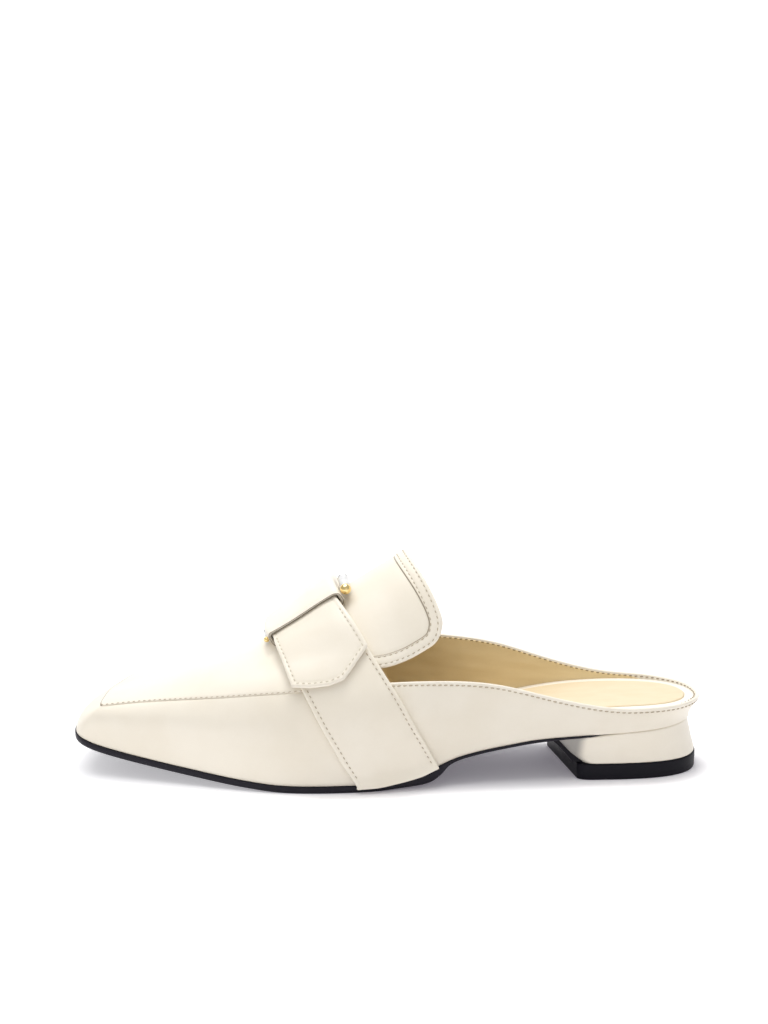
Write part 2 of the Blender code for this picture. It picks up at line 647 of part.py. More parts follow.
def build_strap_outer(finish):
    """The strap's outer half, from the sole up to just past the keeper."""
    share = np.linspace(0.0, 1.0, 9)[None, :]
    way = np.concatenate([np.arange(0.12, -0.39, -0.03), np.linspace(-0.42, -1.0, 13)])[:, None]
    rows = strap_row(way, share)
    low = off_form(rows, way, strap_lift(way))
    high = off_form(rows, way, strap_lift(way) + STRAP_THICK)
    return slab("strap_outer", strap_end(low, share), strap_end(high, share), finish)


def build_strap_inner(finish):
    """The strap's inner half, over the ridge and through the keeper, ending in the pointed tab."""
    share = np.array((0.0, 0.15, 0.30, 0.45, 0.63, 0.82, 1.0))[None, :]
    tab = np.linspace(0.0, 1.0, 9)[:-1, None]
    end = np.interp(share, TAB_SHARE, TAB_END)
    tab_way = end + tab * (TAB_START - end)
    back = open_spline(TAB_WAY, TAB_BACK, tab_way)
    front = open_spline(TAB_WAY, TAB_FRONT, tab_way)
    tab_rows = back + share * (front - back)
    way = np.concatenate([np.arange(TAB_START, 0.37, 0.03), np.linspace(0.42, 1.0, 10)])[:, None]
    way = way + 0.0 * share
    rows = np.concatenate([tab_rows, strap_row(way, share)])
    way = np.concatenate([tab_way, way])
    lift = strap_lift(way) + (STRAP_THICK + GAP) * (1.0 - blend(way, *KEEPER_SLOPE[1]))
    low = off_form(rows, way, lift)
    high = off_form(rows, way, lift + STRAP_THICK)
    return slab("strap_inner", strap_end(low, share), strap_end(high, share), finish)


def keeper_profile(inset):
    """The keeper's section along the instep: shares of its length and heights over the form.

    It is moved in by inset from the keeper's outside.
    """
    height = 2.0 * KEEPER_THICK + 2.0 * STRAP_THICK + 3.0 * GAP
    radius = KEEPER_CORNER
    flat = np.linspace(radius, KEEPER_LENGTH - radius, 7)
    turn = np.radians(np.linspace(0.0, 90.0, 5))
    lengths, heights = [], []
    for centre, base, first in ((flat[-1], radius, -90.0), (flat[-1], height - radius, 0.0),
                                (flat[0], height - radius, 90.0), (flat[0], radius, 180.0)):
        angle = turn + math.radians(first)
        lengths.append(centre + (radius - inset) * np.cos(angle))
        heights.append(base + (radius - inset) * np.sin(angle))
    lengths.insert(2, flat[-2:0:-1])
    heights.insert(2, np.full(5, height - inset))
    lengths.append(flat[1:-1])
    heights.append(np.full(5, inset))
    return np.concatenate(lengths) / KEEPER_LENGTH, np.concatenate(heights) + GAP


def build_keeper(finish):
    """The keeper: a closed leather loop bent over the ridge, round both layers of the strap."""
    across_share = np.linspace(0.0, 1.0, 9)[None, :]
    skins = []
    for inset in (0.0, KEEPER_THICK):
        share, height = (values[:, None] for values in keeper_profile(inset))
        start = KEEPER_OUTER_WAY[0] + share * (KEEPER_OUTER_WAY[1] - KEEPER_OUTER_WAY[0])
        way = start + across_share * (KEEPER_INNER_WAY - start)
        back = open_spline(KEEPER_WAY, KEEPER_BACK, way)
        front = open_spline(KEEPER_WAY, KEEPER_FRONT, way)
        skins.append(off_form(back + share * (front - back), way, height))
    around_count, across_count = skins[0].shape[:2]
    skin = around_count * across_count
    faces = []
    for i in range(around_count):
        a, b = i * across_count, (i + 1) % around_count * across_count
        for j in range(across_count - 1):
            faces.append((a + j, a + j + 1, b + j + 1, b + j))
            faces.append((skin + a + j, skin + b + j, skin + b + j + 1, skin + a + j + 1))
        for j in (0, across_count - 1):
            faces.append((a + j, b + j, skin + b + j, skin + a + j))
    return add_object("keeper", np.concatenate([s.reshape(-1, 3) for s in skins]), faces, finish)


def build_bar(name, start, end, ball_radius, rod_radius, finish):
    """A straight rod with a ball at each end, turned in one piece."""
    start, end = np.array(start), np.array(end)
    length = np.linalg.norm(end - start)
    along = (end - start) / length
    side = unit(np.cross(along, (0.0, 0.0, 1.0)))
    up = np.cross(side, along)
    neck = NECK * rod_radius
    meet = math.sqrt(ball_radius ** 2 - neck ** 2) + NECK_LENGTH
    ball = np.radians(np.linspace(12.0, 180.0 - math.degrees(math.asin(neck / ball_radius)), 7))
    profile = [(-ball_radius * math.cos(a), ball_radius * math.sin(a)) for a in ball]
    profile += [(meet, rod_radius), (length - meet, rod_radius)]
    profile += [(length + ball_radius * math.cos(a), ball_radius * math.sin(a)) for a in ball[::-1]]
    angle = np.radians(np.arange(14) * 360.0 / 14)
    circle = np.cos(angle)[:, None] * side + np.sin(angle)[:, None] * up
    rings = np.array([start + along * place + radius * circle for place, radius in profile])
    return tube(name, rings, finish)


def heel_ring(height, front_x, inset, length, depth):
    """One level of the heel: its outline from the outer front corner round the back to the inner one.

    height gives z at a plan x, and front_x the front at a z, read at BREAST_Y. The corners are quarter
    ovals that begin a length behind the front and end a depth in.
    """
    dense = np.linspace(0.0, HEEL_ROW[-1], 241)
    sides = []
    for sign in (1.0, -1.0):
        plan = foot(sign * dense, inset(dense) + depth)
        front = front_x(height(plan[:, 0])) - BREAST_SLANT * (plan[:, 1] - BREAST_Y)
        last = np.interp(0.0, front - plan[:, 0], dense)
        corner_row = last - CORNER_ROWS
        picked = np.concatenate([np.linspace(0.0, corner_row, 10)[:-1],
                                 corner_row + CORNER_ROWS * np.array(CORNER_STEPS)])
        along = foot(sign * picked, inset(picked))[:, 0]
        part = np.clip(1.0 - (along - along[-1]) / length, 0.0, 1.0)
        corner = depth * (1.0 - np.sqrt(1.0 - part ** 2))
        sides.append(foot(sign * picked, inset(picked) + corner))
    ring = np.concatenate([sides[0][::-1], sides[1][1:]])
    return points(ring[:, 0], ring[:, 1], height(ring[:, 0]))


def stack(name, rings, finish):
    """A closed solid from rings that run from one front corner round the back to the other."""
    count = len(rings[0])
    half = count // 2
    vertices = np.concatenate(rings)
    faces = grid_faces(len(rings), count, closed=True)
    for start in (0, (len(rings) - 1) * count):
        for k in range(half):
            corners = (start + k, start + k + 1, start + count - 2 - k, start + count - 1 - k)
            faces.append(tuple(dict.fromkeys(corners)))
    return add_object(name, vertices, faces, finish)


def flap_at(z, name):
    return np.interp(-z, -column(FLAP, FLAP_COLUMNS, "z"), column(FLAP, FLAP_COLUMNS, name))


def heel_top(x):
    """The seat: under the sole as far as it goes, then under the upper."""
    behind = np.clip((x - SOLE_END_X) / 0.008, 0.0, 1.0)
    return sole_bottom(x) - GAP + behind * (sole_top(x) - sole_bottom(x))


def build_heel(finish):
    """The covered heel: scooped under the seat in front, flared towards the ground at the back."""
    low = LIFT_THICK + GAP
    seat = heel_top(FLAP[1][2])
    rings = []
    for z, insets, length, depth in zip(column(FLAP, FLAP_COLUMNS, "z"), HEEL_INSETS, CORNER_LENGTH,
                                        CORNER_DEPTH):
        share = np.clip((seat - z) / (seat - low), 0.0, 1.0)
        rings.append(heel_ring(lambda x, share=share: heel_top(x) + share * (low - heel_top(x)),
                               lambda height: flap_at(height, "back_x") + GAP,
                               lambda row, insets=insets: open_spline(HEEL_ROW, insets, row),
                               length, depth))
    return stack("heel", rings, finish)


def build_top_lift(finish):
    """The flat top lift that stands on the ground."""
    rings = []
    levels = ((0.0, LIFT_ROUND), (LIFT_ROUND, 0.0), (LIFT_THICK - LIFT_ROUND, 0.0), (LIFT_THICK, LIFT_ROUND))
    for z, more in levels:
        rings.append(heel_ring(lambda x, z=z: z + 0.0 * x,
                               lambda height, more=more: LIFT_FRONT + more + 0.0 * height,
                               lambda row, more=more: open_spline(HEEL_ROW, LIFT_INSETS, row) + more,
                               CORNER_LENGTH[-1], CORNER_DEPTH[-1]))
    return stack("top_lift", rings, finish)


def build_flap(finish):
    """The sole's flap down the front of the heel."""
    z = column(FLAP, FLAP_COLUMNS, "z")[:, None]
    half = np.interp(-z, (-0.0184, -0.0150, -0.0110, -0.0071), (0.0212, 0.0208, 0.0212, 0.0218))
    y = half * np.linspace(-1.0, 1.0, 5)[None, :]
    slant = -BREAST_SLANT * (y - BREAST_Y)
    faces = []
    for side in ("front_x", "back_x"):
        x = column(FLAP, FLAP_COLUMNS, side)[:, None] + slant
        within = (sole_bottom(x) + sole_top(x)) / 2.0
        first = np.arange(len(FLAP))[:, None] == 0
        faces.append(points(x, y, np.where(first, within, np.minimum(z, within))))
    return slab("flap", *faces, finish)


def centre_on_origin():
    """Moves the whole shoe so that its box is centred over the origin, still standing on z = 0."""
    made = list(bpy.data.objects)
    corners = np.array([v.co for item in made for v in item.data.vertices])
    middle = (corners.min(0) + corners.max(0)) / 2.0
    for item in made:
        for vertex in item.data.vertices:
            vertex.co.x -= middle[0]
            vertex.co.y -= middle[1]


def main():
    for old in list(bpy.data.objects):
        bpy.data.objects.remove(old)
    cream = material("cream_leather", (0.82, 0.76, 0.65), 0.45)
    dark = material("dark_sole", (0.012, 0.010, 0.014), 0.5)
    tan = material("tan_leather", (0.80, 0.62, 0.38), 0.5)
    gold = material("gold_metal", (0.80, 0.62, 0.28), 0.2, 1.0)
    build_upper(cream)
    build_outsole(dark)
    build_insole(cream)
    build_sock(tan)
    build_tongue(cream)
    build_strap_outer(cream)
    build_strap_inner(cream)
    build_keeper(cream)
    for name, sizes in BARS.items():
        build_bar(name, *sizes, gold)
    build_heel(cream)
    build_top_lift(dark)
    centre_on_origin()


main()
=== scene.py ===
# %% [markdown]
# # A backless loafer with a saddle strap
# This lesson dresses a finished set of solids, the "frame", as a real shoe. The solids give every
# size. Each visible surface is worked out again here with numpy, finely enough to carry rolled
# edges, seams, stitches and creases. The toe points to -X, the heel to +X, the outer side of the
# foot to -Y, and the shoe stands on z = 0. Metres.

# %% Load the frame
import math

import bmesh
import bpy
import numpy as np
from mathutils import Matrix


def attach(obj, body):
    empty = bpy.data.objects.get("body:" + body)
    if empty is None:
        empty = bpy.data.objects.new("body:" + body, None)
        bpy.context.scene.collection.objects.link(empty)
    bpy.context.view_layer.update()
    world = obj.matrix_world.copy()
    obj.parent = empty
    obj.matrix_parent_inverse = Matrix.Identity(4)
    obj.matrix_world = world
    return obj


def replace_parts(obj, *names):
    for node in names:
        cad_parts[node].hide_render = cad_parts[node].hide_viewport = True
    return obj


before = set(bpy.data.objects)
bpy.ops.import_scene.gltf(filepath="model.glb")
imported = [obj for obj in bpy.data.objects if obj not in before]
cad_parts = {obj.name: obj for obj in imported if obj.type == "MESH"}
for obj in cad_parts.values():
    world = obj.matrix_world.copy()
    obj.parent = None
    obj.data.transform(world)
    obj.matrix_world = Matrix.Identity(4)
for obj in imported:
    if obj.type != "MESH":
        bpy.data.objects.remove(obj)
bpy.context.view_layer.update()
print("frame nodes:", ", ".join(sorted(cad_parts)))

# %% [markdown]
# ## The tables of the last
# A shoe is made over a last, and everything on it follows that one form. The tables below are the
# form's own measures: cross-sections from the heel round to the toe, the ridge of the instep, and
# the lines of the sole. They could be sculpted by eye, but a table keeps the looks and the solids
# on exactly the same surface.

# %% Sizes
WALL = 0.0018            # leather and lining of the upper together
GAP = 0.0003             # kept between pieces that touch
FEATHER_INSET = 0.0006   # the sole shows this much outside the upper
INSOLE_INSET = 0.0030    # from the sole's outline to the footbed's edge
TOE_INSET = 0.0034       # and this much more at the toe, whose wall leans back
SOCK_INSET = 0.0042      # the pale rim of the footbed that the sock leaves bare
HEEL_RIM_LESS = 0.0015   # the rim is this much narrower round the heel
STRAP_THICK = 0.0019
SOLE_LAP = 0.0010        # how far the strap's ends lap the sole's edge
KEEPER_THICK = 0.0015
KEEPER_LENGTH = 0.0370   # along the instep, outside to outside
KEEPER_CORNER = 0.0028   # outer radius of its turns
TONGUE_THICK = 0.0020
TONGUE_HALF = 0.44       # how far down each side it reaches, as a place across the foot
TONGUE_SKEW = 0.0013     # its free edge is this much fuller on the outer side
LIFT_THICK = 0.0068      # the top lift
LIFT_FRONT = 0.0776
SOLE_END_X = 0.0880      # the sole ends under the seat, a little behind the heel's front
BREAST_SLANT = 0.222     # how far the heel's front runs forward, per metre inwards
BREAST_Y = -0.0206       # the side position at which that front is given
THROAT_ROW = 9           # the vamp ends at this section
CENTRE = np.array((0.00215, 0.0009991, 0.0))    # the frame's middle, from the tables' own origin
print("upper's wall:", WALL, "m")

# %% Tables

SECTION_COLUMNS = ("foot_x", "outer_y", "inner_y", "outer_edge_x", "outer_edge_y",
                   "outer_edge_z", "inner_edge_x", "inner_edge_y", "inner_edge_z", "axis_x", "crest_x")
SECTIONS = (
    (0.1268, 0.0000, 0.0000, 0.1305, 0.0000, 0.0306, 0.1305, 0.0000, 0.0306, 0.1050, 0.1050),
    (0.1245, -0.0105, 0.0105, 0.1278, -0.0113, 0.0310, 0.1278, 0.0113, 0.0309, 0.1035, 0.1035),
    (0.1178, -0.0188, 0.0188, 0.1198, -0.0198, 0.0309, 0.1198, 0.0197, 0.0316, 0.1000, 0.1000),
    (0.1065, -0.0245, 0.0245, 0.1070, -0.0248, 0.0309, 0.1070, 0.0246, 0.0325, 0.0950, 0.0950),
    (0.0900, -0.0270, 0.0268, 0.0890, -0.0266, 0.0319, 0.0890, 0.0262, 0.0341, 0.0840, 0.0840),
    (0.0700, -0.0281, 0.0266, 0.0660, -0.0274, 0.0367, 0.0660, 0.0258, 0.0402, 0.0690, 0.0690),
    (0.0520, -0.0290, 0.0270, 0.0450, -0.0286, 0.0420, 0.0450, 0.0264, 0.0466, 0.0520, 0.0520),
    (0.0360, -0.0310, 0.0284, 0.0240, -0.0315, 0.0444, 0.0240, 0.0288, 0.0493, 0.0360, 0.0100),
    (0.0210, -0.0338, 0.0310, 0.0020, -0.0352, 0.0451, 0.0020, 0.0330, 0.0495, 0.0210, -0.0170),
    (0.0050, -0.0373, 0.0344, -0.0150, -0.0366, 0.0438, -0.0150, 0.0345, 0.0470, 0.0050, -0.0340),
    (-0.0110, -0.0404, 0.0376, -0.0330, -0.0368, 0.0417, -0.0330, 0.0350, 0.0448, -0.0110, -0.0500),
    (-0.0340, -0.0419, 0.0402, -0.0520, -0.0345, 0.0396, -0.0520, 0.0342, 0.0420, -0.0330, -0.0650),
    (-0.0580, -0.0386, 0.0406, -0.0700, -0.0305, 0.0373, -0.0700, 0.0330, 0.0388, -0.0560, -0.0790),
    (-0.0820, -0.0324, 0.0386, -0.0880, -0.0256, 0.0350, -0.0880, 0.0315, 0.0358, -0.0780, -0.0915),
    (-0.1040, -0.0268, 0.0352, -0.1040, -0.0214, 0.0328, -0.1035, 0.0295, 0.0337, -0.0960, -0.1020),
    (-0.1212, -0.0224, 0.0305, -0.1168, -0.0196, 0.0310, -0.1112, 0.0272, 0.0326, -0.1060, -0.1085),
    (-0.1307, -0.0167, 0.0235, -0.1202, -0.0165, 0.0306, -0.1150, 0.0224, 0.0322, -0.1105, -0.1115),
    (-0.1341, -0.0068, 0.0138, -0.1207, -0.0062, 0.0309, -0.1177, 0.0138, 0.0318, -0.1125, -0.1130),
    (-0.1348, 0.0038, 0.0038, -0.1202, 0.0040, 0.0313, -0.1202, 0.0040, 0.0313, -0.1130, -0.1135),
)
RIDGE_X, RIDGE_Y, RIDGE_Z = np.array((
    (-0.1140, 0.0040, 0.0332),
    (-0.1020, 0.0042, 0.0361),
    (-0.0915, 0.0045, 0.0390),
    (-0.0790, 0.0048, 0.0427),
    (-0.0650, 0.0050, 0.0470),
    (-0.0560, 0.0050, 0.0508),
    (-0.0500, 0.0050, 0.0542),
    (-0.0430, 0.0050, 0.0590),
    (-0.0340, 0.0050, 0.0656),
    (-0.0220, 0.0048, 0.0740),
    (-0.0170, 0.0046, 0.0768),
    (-0.0050, 0.0042, 0.0840),
    (0.0075, 0.0040, 0.0914),
)).T
SOLE_X, SOLE_BOTTOM, SOLE_TOP = np.array((
    (-0.1350, 0.0149, 0.0181),
    (-0.1200, 0.0110, 0.0142),
    (-0.1000, 0.0072, 0.0104),
    (-0.0780, 0.0039, 0.0071),
    (-0.0580, 0.0014, 0.0046),
    (-0.0420, 0.0001, 0.0033),
    (-0.0340, 0.0000, 0.0032),
    (-0.0050, 0.0000, 0.0032),
    (0.0040, 0.0006, 0.0042),
    (0.0136, 0.0014, 0.0062),
    (0.0176, 0.0023, 0.0078),
    (0.0217, 0.0049, 0.0095),
    (0.0258, 0.0092, 0.0113),
    (0.0298, 0.0111, 0.0127),
    (0.0380, 0.0131, 0.0146),
    (0.0480, 0.0150, 0.0164),
    (0.0620, 0.0173, 0.0187),
    (0.0780, 0.0190, 0.0200),
    (0.0880, 0.0198, 0.0205),
    (0.1020, 0.0208, 0.0212),
    (0.1280, 0.0222, 0.0226),
)).T
BED_X, BED_TOP = np.array((
    (-0.1250, 0.0196),
    (-0.1000, 0.0144),
    (-0.0600, 0.0088),
    (-0.0200, 0.0076),
    (0.0100, 0.0102),
    (0.0300, 0.0172),
    (0.0500, 0.0240),
    (0.0700, 0.0281),
    (0.0900, 0.0296),
    (0.1280, 0.0300),
)).T
BED_ROW, BED_OUT = np.array((
    (0.0, 0.0034),
    (1.0, 0.0029),
    (2.0, 0.0019),
    (3.0, 0.0007),
    (4.0, 0.0001),
    (5.0, 0.0001),
)).T
print("sections:", len(SECTIONS))

# %% [markdown]
# ## Smooth lines through the tables
# Two kinds of curve read the tables: a closed one that runs round the shoe, and an open one along
# it. A third, which never overshoots, is for the sole, whose bottom turns up sharply behind the
# ball of the foot.

# %% Curves
def closed_spline(values, at):
    """A smooth closed curve through even values: a cubic in each gap, bends agreeing at the joins."""
    values = np.asarray(values, float)
    count = len(values)
    matrix = 4.0 * np.eye(count) + np.roll(np.eye(count), 1, 0) + np.roll(np.eye(count), -1, 0)
    bend = np.linalg.solve(matrix, 6.0 * (np.roll(values, -1) - 2.0 * values + np.roll(values, 1)))
    at = np.asarray(at, float)
    first = np.floor(at).astype(int)
    part = at - first
    a, b = first % count, (first + 1) % count
    rest = 1.0 - part
    return (values[a] * rest + values[b] * part
            + ((rest ** 3 - rest) * bend[a] + (part ** 3 - part) * bend[b]) / 6.0)


def open_spline(xs, values, at):
    """A smooth curve through values at rising places xs, straight at both ends."""
    xs, values = np.asarray(xs, float), np.asarray(values, float)
    count = len(xs)
    step = np.diff(xs)
    matrix = np.eye(count)
    right = np.zeros(count)
    slope = np.diff(values) / step
    for k in range(1, count - 1):
        matrix[k, k - 1:k + 2] = step[k - 1], 2.0 * (step[k - 1] + step[k]), step[k]
        right[k] = 6.0 * (slope[k] - slope[k - 1])
    bend = np.linalg.solve(matrix, right)
    at = np.clip(np.asarray(at, float), xs[0], xs[-1])
    k = np.clip(np.searchsorted(xs, at) - 1, 0, count - 2)
    part = (at - xs[k]) / step[k]
    rest = 1.0 - part
    return (values[k] * rest + values[k + 1] * part
            + ((rest ** 3 - rest) * bend[k] + (part ** 3 - part) * bend[k + 1]) * step[k] ** 2 / 6.0)


def level_curve(xs, values, at):
    """A smooth curve that never overshoots: each slope is the harmonic mean of its gaps' slopes."""
    rise = np.diff(values) / np.diff(xs)
    slope = np.concatenate([rise[:1], np.zeros(len(xs) - 2), rise[-1:]])
    product = rise[:-1] * rise[1:]
    same = product > 0.0
    slope[1:-1][same] = (2.0 * product / np.where(same, rise[:-1] + rise[1:], 1.0))[same]
    at = np.clip(np.asarray(at, float), xs[0], xs[-1])
    k = np.clip(np.searchsorted(xs, at) - 1, 0, len(xs) - 2)
    gap = xs[k + 1] - xs[k]
    t = (at - xs[k]) / gap
    return (values[k] * (1 + 2 * t) * (1 - t) ** 2 + values[k + 1] * t * t * (3 - 2 * t)
            + gap * (slope[k] * t * (1 - t) ** 2 - slope[k + 1] * t * t * (1 - t)))


def blend(value, start, end):
    """0 before start, 1 after end, smooth between."""
    t = np.clip((np.asarray(value, float) - start) / (end - start), 0.0, 1.0)
    return t * t * (3.0 - 2.0 * t)


def unit(vectors):
    """Vectors divided by their lengths."""
    return vectors / np.maximum(np.linalg.norm(vectors, axis=-1, keepdims=True), 1e-12)


def points(x, y, z):
    """Three coordinates side by side as an array of points."""
    return np.stack(np.broadcast_arrays(x, y, z), -1)


def part_way(first, last, share):
    """The value that lies at a share of the way from first to last."""
    return first + share * (last - first)


def bezier(p0, p1, p2, p3, t):
    """The curve that leaves p0 towards p1 and reaches p3 from p2."""
    s = 1.0 - t
    return s ** 3 * p0 + 3 * s * s * t * p1 + 3 * s * t * t * p2 + t ** 3 * p3


print("sole bottom under the ball:", float(level_curve(SOLE_X, SOLE_BOTTOM, -0.02)))

# %% [markdown]
# ## The form of the last
# One function gives any point of the form: which section it is in, and how far up that section it
# lies. A wall rises from the sole to the edge line, and a dome goes on from there to the ridge.
# Where they meet they share a direction, so the surface has no corner there. Sections are numbered
# from the heel's back, 0, to the toe's tip, 18, positive on the outer side and negative on the
# inner side.

# %% The form
COLUMN = {name: np.array([row[k] for row in SECTIONS]) for k, name in enumerate(SECTION_COLUMNS)}
LAST_ROW = len(SECTIONS) - 1


def around(outer, inner, row):
    """A column: the outer side's for row > 0, the inner's for row < 0, smooth round heel and toe."""
    return closed_spline(np.concatenate([COLUMN[outer], COLUMN[inner][-2:0:-1]]), row)


def sole_outline(row):
    """Plan point of the sole's outline at a section."""
    return np.stack([around("foot_x", "foot_x", row), around("outer_y", "inner_y", row)], -1)


def foot(row, inset=0.0):
    """Plan point of the sole's outline at a section, moved inwards by inset."""
    along = unit(sole_outline(row + 0.02) - sole_outline(row - 0.02))
    inwards = np.stack([along[..., 1], -along[..., 0]], -1)
    return sole_outline(row) + np.asarray(inset)[..., None] * inwards


def edge(row):
    """Collar top line, or the line where the apron is sewn on, at a section."""
    return points(*(around("outer_edge_" + way, "inner_edge_" + way, row) for way in "xyz"))


def ridge(x):
    """The ridge of the instep at a place along the shoe."""
    return points(x, open_spline(RIDGE_X, RIDGE_Y, x), open_spline(RIDGE_X, RIDGE_Z, x))


def axis(row):
    """Plan point where a section meets the sole's middle line, which is the ridge's in front."""
    x = around("axis_x", "axis_x", row)
    return np.stack([x, ridge(x)[..., 1] * np.clip((0.02 - x) / 0.06, 0.0, 1.0)], -1)


def crest_direction(row):
    """Level direction across the ridge, with the ridge's own slope where it runs lengthwise."""
    plan = unit(axis(row) - foot(row))
    x = around("crest_x", "crest_x", row)
    slope = (ridge(x + 0.001)[..., 2] - ridge(x - 0.001)[..., 2]) / 0.002
    return unit(points(plan[..., 0], plan[..., 1], plan[..., 0] * slope))


LEAN, CORNER_LESS = 0.55, 0.30      # the wall's part in the direction at the edge line
CORNER_ROWS = (11.0, 14.5)          # over these sections the toe's corners begin
END_HANDLE, EDGE_HANDLE = 0.42, 0.34    # handles of the curves, as a share of their length
FLARE = 0.06                        # how far the wall's foot leans outwards


def form(row, rise):
    """Outer surface of the upper: rise 0 at the sole, 0.5 at the edge line, 1 at the ridge.

    The wall and the dome are one curve each. At the edge line both take a mean of their directions.
    """
    row, rise = np.broadcast_arrays(np.asarray(row, float), np.asarray(rise, float))
    base = foot(row, FEATHER_INSET)
    bottom = points(base[..., 0], base[..., 1], level_curve(SOLE_X, SOLE_TOP, base[..., 0]))
    top = edge(row)
    crest = ridge(around("crest_x", "crest_x", row))
    wall, dome = top - bottom, crest - top
    less = CORNER_LESS * blend(np.abs(row), *CORNER_ROWS)[..., None]
    lean = unit(unit(wall) * (LEAN - less) + unit(dome) * (1.0 - LEAN + less))
    quarter = np.clip((THROAT_ROW - 1.2 - np.abs(row)) / 1.0, 0.0, 1.0)[..., None]
    lean = unit(lean * (1.0 - quarter) + unit(wall) * quarter)
    height = np.linalg.norm(wall, axis=-1, keepdims=True)
    reach = np.linalg.norm(dome, axis=-1, keepdims=True)
    upright = points(FLARE * wall[..., 0], 0.0, wall[..., 2])
    t = np.clip(2.0 * rise, 0.0, 1.0)[..., None]
    low = bezier(bottom, bottom + END_HANDLE * upright, top - EDGE_HANDLE * height * lean, top, t)
    t = np.clip(2.0 * rise - 1.0, 0.0, 1.0)[..., None]
    near_crest = crest - END_HANDLE * reach * crest_direction(row)
    high = bezier(top, top + EDGE_HANDLE * reach * lean, near_crest, crest, t)
    return np.where(rise[..., None] <= 0.5, low, high)


def wall_height(row):
    """From the sole to the edge line, straight up the wall."""
    return np.linalg.norm(form(row, 0.5) - form(row, 0.0), axis=-1)


def form_normal(row, rise):
    """Outward direction of the form: across the small steps along and up it."""
    along = form(row + 0.04, rise) - form(row - 0.04, rise)
    up = form(row, np.minimum(rise + 0.006, 1.0)) - form(row, np.maximum(rise - 0.006, 0.0))
    return unit(np.cross(up, along))


def across(row, way):
    """A point of the form by its place across: -1 the outer sole, 0 the ridge, 1 the inner sole."""
    return form(np.where(way <= 0.0, row, -row), 1.0 - np.abs(way))


def off_form(row, way, distance):
    """A point at a distance off the form, along its outward direction."""
    row, way, distance = np.broadcast_arrays(*(np.asarray(v, float) for v in (row, way, distance)))
    along = across(row + 0.05, way) - across(row - 0.05, way)
    over = across(row, np.minimum(way + 0.02, 1.0)) - across(row, np.maximum(way - 0.02, -1.0))
    return across(row, way) + unit(np.cross(over, along)) * distance[..., None]


def bed_top(x):
    """Height of the footbed's board."""
    return open_spline(BED_X, BED_TOP, x)


print("girth points at the ball:", across(11.0, np.array((-1.0, 0.0, 1.0))).round(4).tolist())


# %% [markdown]
# ## Shader maths as plain expressions
# Leather, rubber and metal each need a little arithmetic on noise patterns. Nodes can be wired by
# hand, but it reads better as sums and products, so one small class wraps a socket, and an
# expression on it adds the Math nodes.

# %% A socket that can be calculated with
class Value:
    """A number that changes over the surface."""

    def __init__(self, finish, socket):
        self.finish, self.socket = finish, socket

    def math(self, operation, *others):
        return self.finish.node("ShaderNodeMath", {"operation": operation}, *others)

    def __add__(self, other):
        return self.math("ADD", self, other)

    def __sub__(self, other):
        return self.math("SUBTRACT", self, other)

    def __rsub__(self, other):
        return self.math("SUBTRACT", other, self)

    def __mul__(self, other):
        return self.math("MULTIPLY", self, other)

    def __pow__(self, other):
        return self.math("POWER", self, other)

    __radd__ = __add__
    __rmul__ = __mul__

    def between(self, low, high):
        """0 below low, 1 above high, smooth between."""
        smooth = {"interpolation_type": "SMOOTHSTEP"}
        return self.finish.node("ShaderNodeMapRange", smooth, self, low, high)


class Finish:
    """A material and its Principled shader."""

    def __init__(self, name, **constants):
        self.material = bpy.data.materials.new(name)
        self.material.use_nodes = True
        self.tree = self.material.node_tree
        self.shader = self.tree.nodes["Principled BSDF"]
        for socket, value in constants.items():
            self.shader.inputs[socket.replace("_", " ")].default_value = value

    def node(self, kind, settings=None, *inputs, out=0, **named):
        """Adds a node: settings first, then its inputs in order or by name. Returns one output."""
        made = self.tree.nodes.new(kind)
        for key, value in (settings or {}).items():
            setattr(made, key, value)
        pairs = list(zip(made.inputs, inputs))
        pairs += [(made.inputs[key.replace("_", " ")], value) for key, value in named.items()]
        for socket, value in pairs:
            if isinstance(value, Value):
                self.tree.links.new(value.socket, socket)
            elif value is not None:
                socket.default_value = value
        return Value(self, made.outputs[out])

    def place(self, scale=(1.0, 1.0, 1.0)):
        """The piece's own coordinates in metres, stretched by scale."""
        own = self.node("ShaderNodeTexCoord", out="Object")
        return self.node("ShaderNodeMapping", None, Vector=own, Scale=scale)

    def noise(self, scale, detail=2.0, stretch=(1.0, 1.0, 1.0)):
        """Clouds, so many to the metre."""
        own = self.place(stretch)
        return self.node("ShaderNodeTexNoise", None, Vector=own, Scale=scale, Detail=detail)

    def cells(self, scale):
        """Distance from the middle of irregular cells, so many to the metre."""
        return self.node("ShaderNodeTexVoronoi", {"feature": "F1"}, Vector=self.place(), Scale=scale)

    def attribute(self, name):
        """A number that the mesh carries at each point."""
        return self.node("ShaderNodeAttribute", {"attribute_name": name}, out="Fac")

    def tint(self, share, one, other):
        """A colour that goes from one to the other by share."""
        made = self.tree.nodes.new("ShaderNodeMix")
        made.data_type = "RGBA"
        for socket, value in zip((made.inputs[0], made.inputs[6], made.inputs[7]), (share, one, other)):
            if isinstance(value, Value):
                self.tree.links.new(value.socket, socket)
            else:
                socket.default_value = value if isinstance(value, float) else (*value, 1.0)
        return Value(self, made.outputs[2])

    def bump(self, height, distance, strength=1.0, under=None):
        """A normal that leans as height rises, over another bump or the plain surface."""
        return self.node("ShaderNodeBump", None, Strength=strength, Distance=distance, Height=height,
                         Normal=under)

    def into(self, **links):
        """Connects values to the shader's sockets."""
        for socket, value in links.items():
            self.tree.links.new(value.socket, self.shader.inputs[socket.replace("_", " ")])
        return self.material


print("shader helper ready")
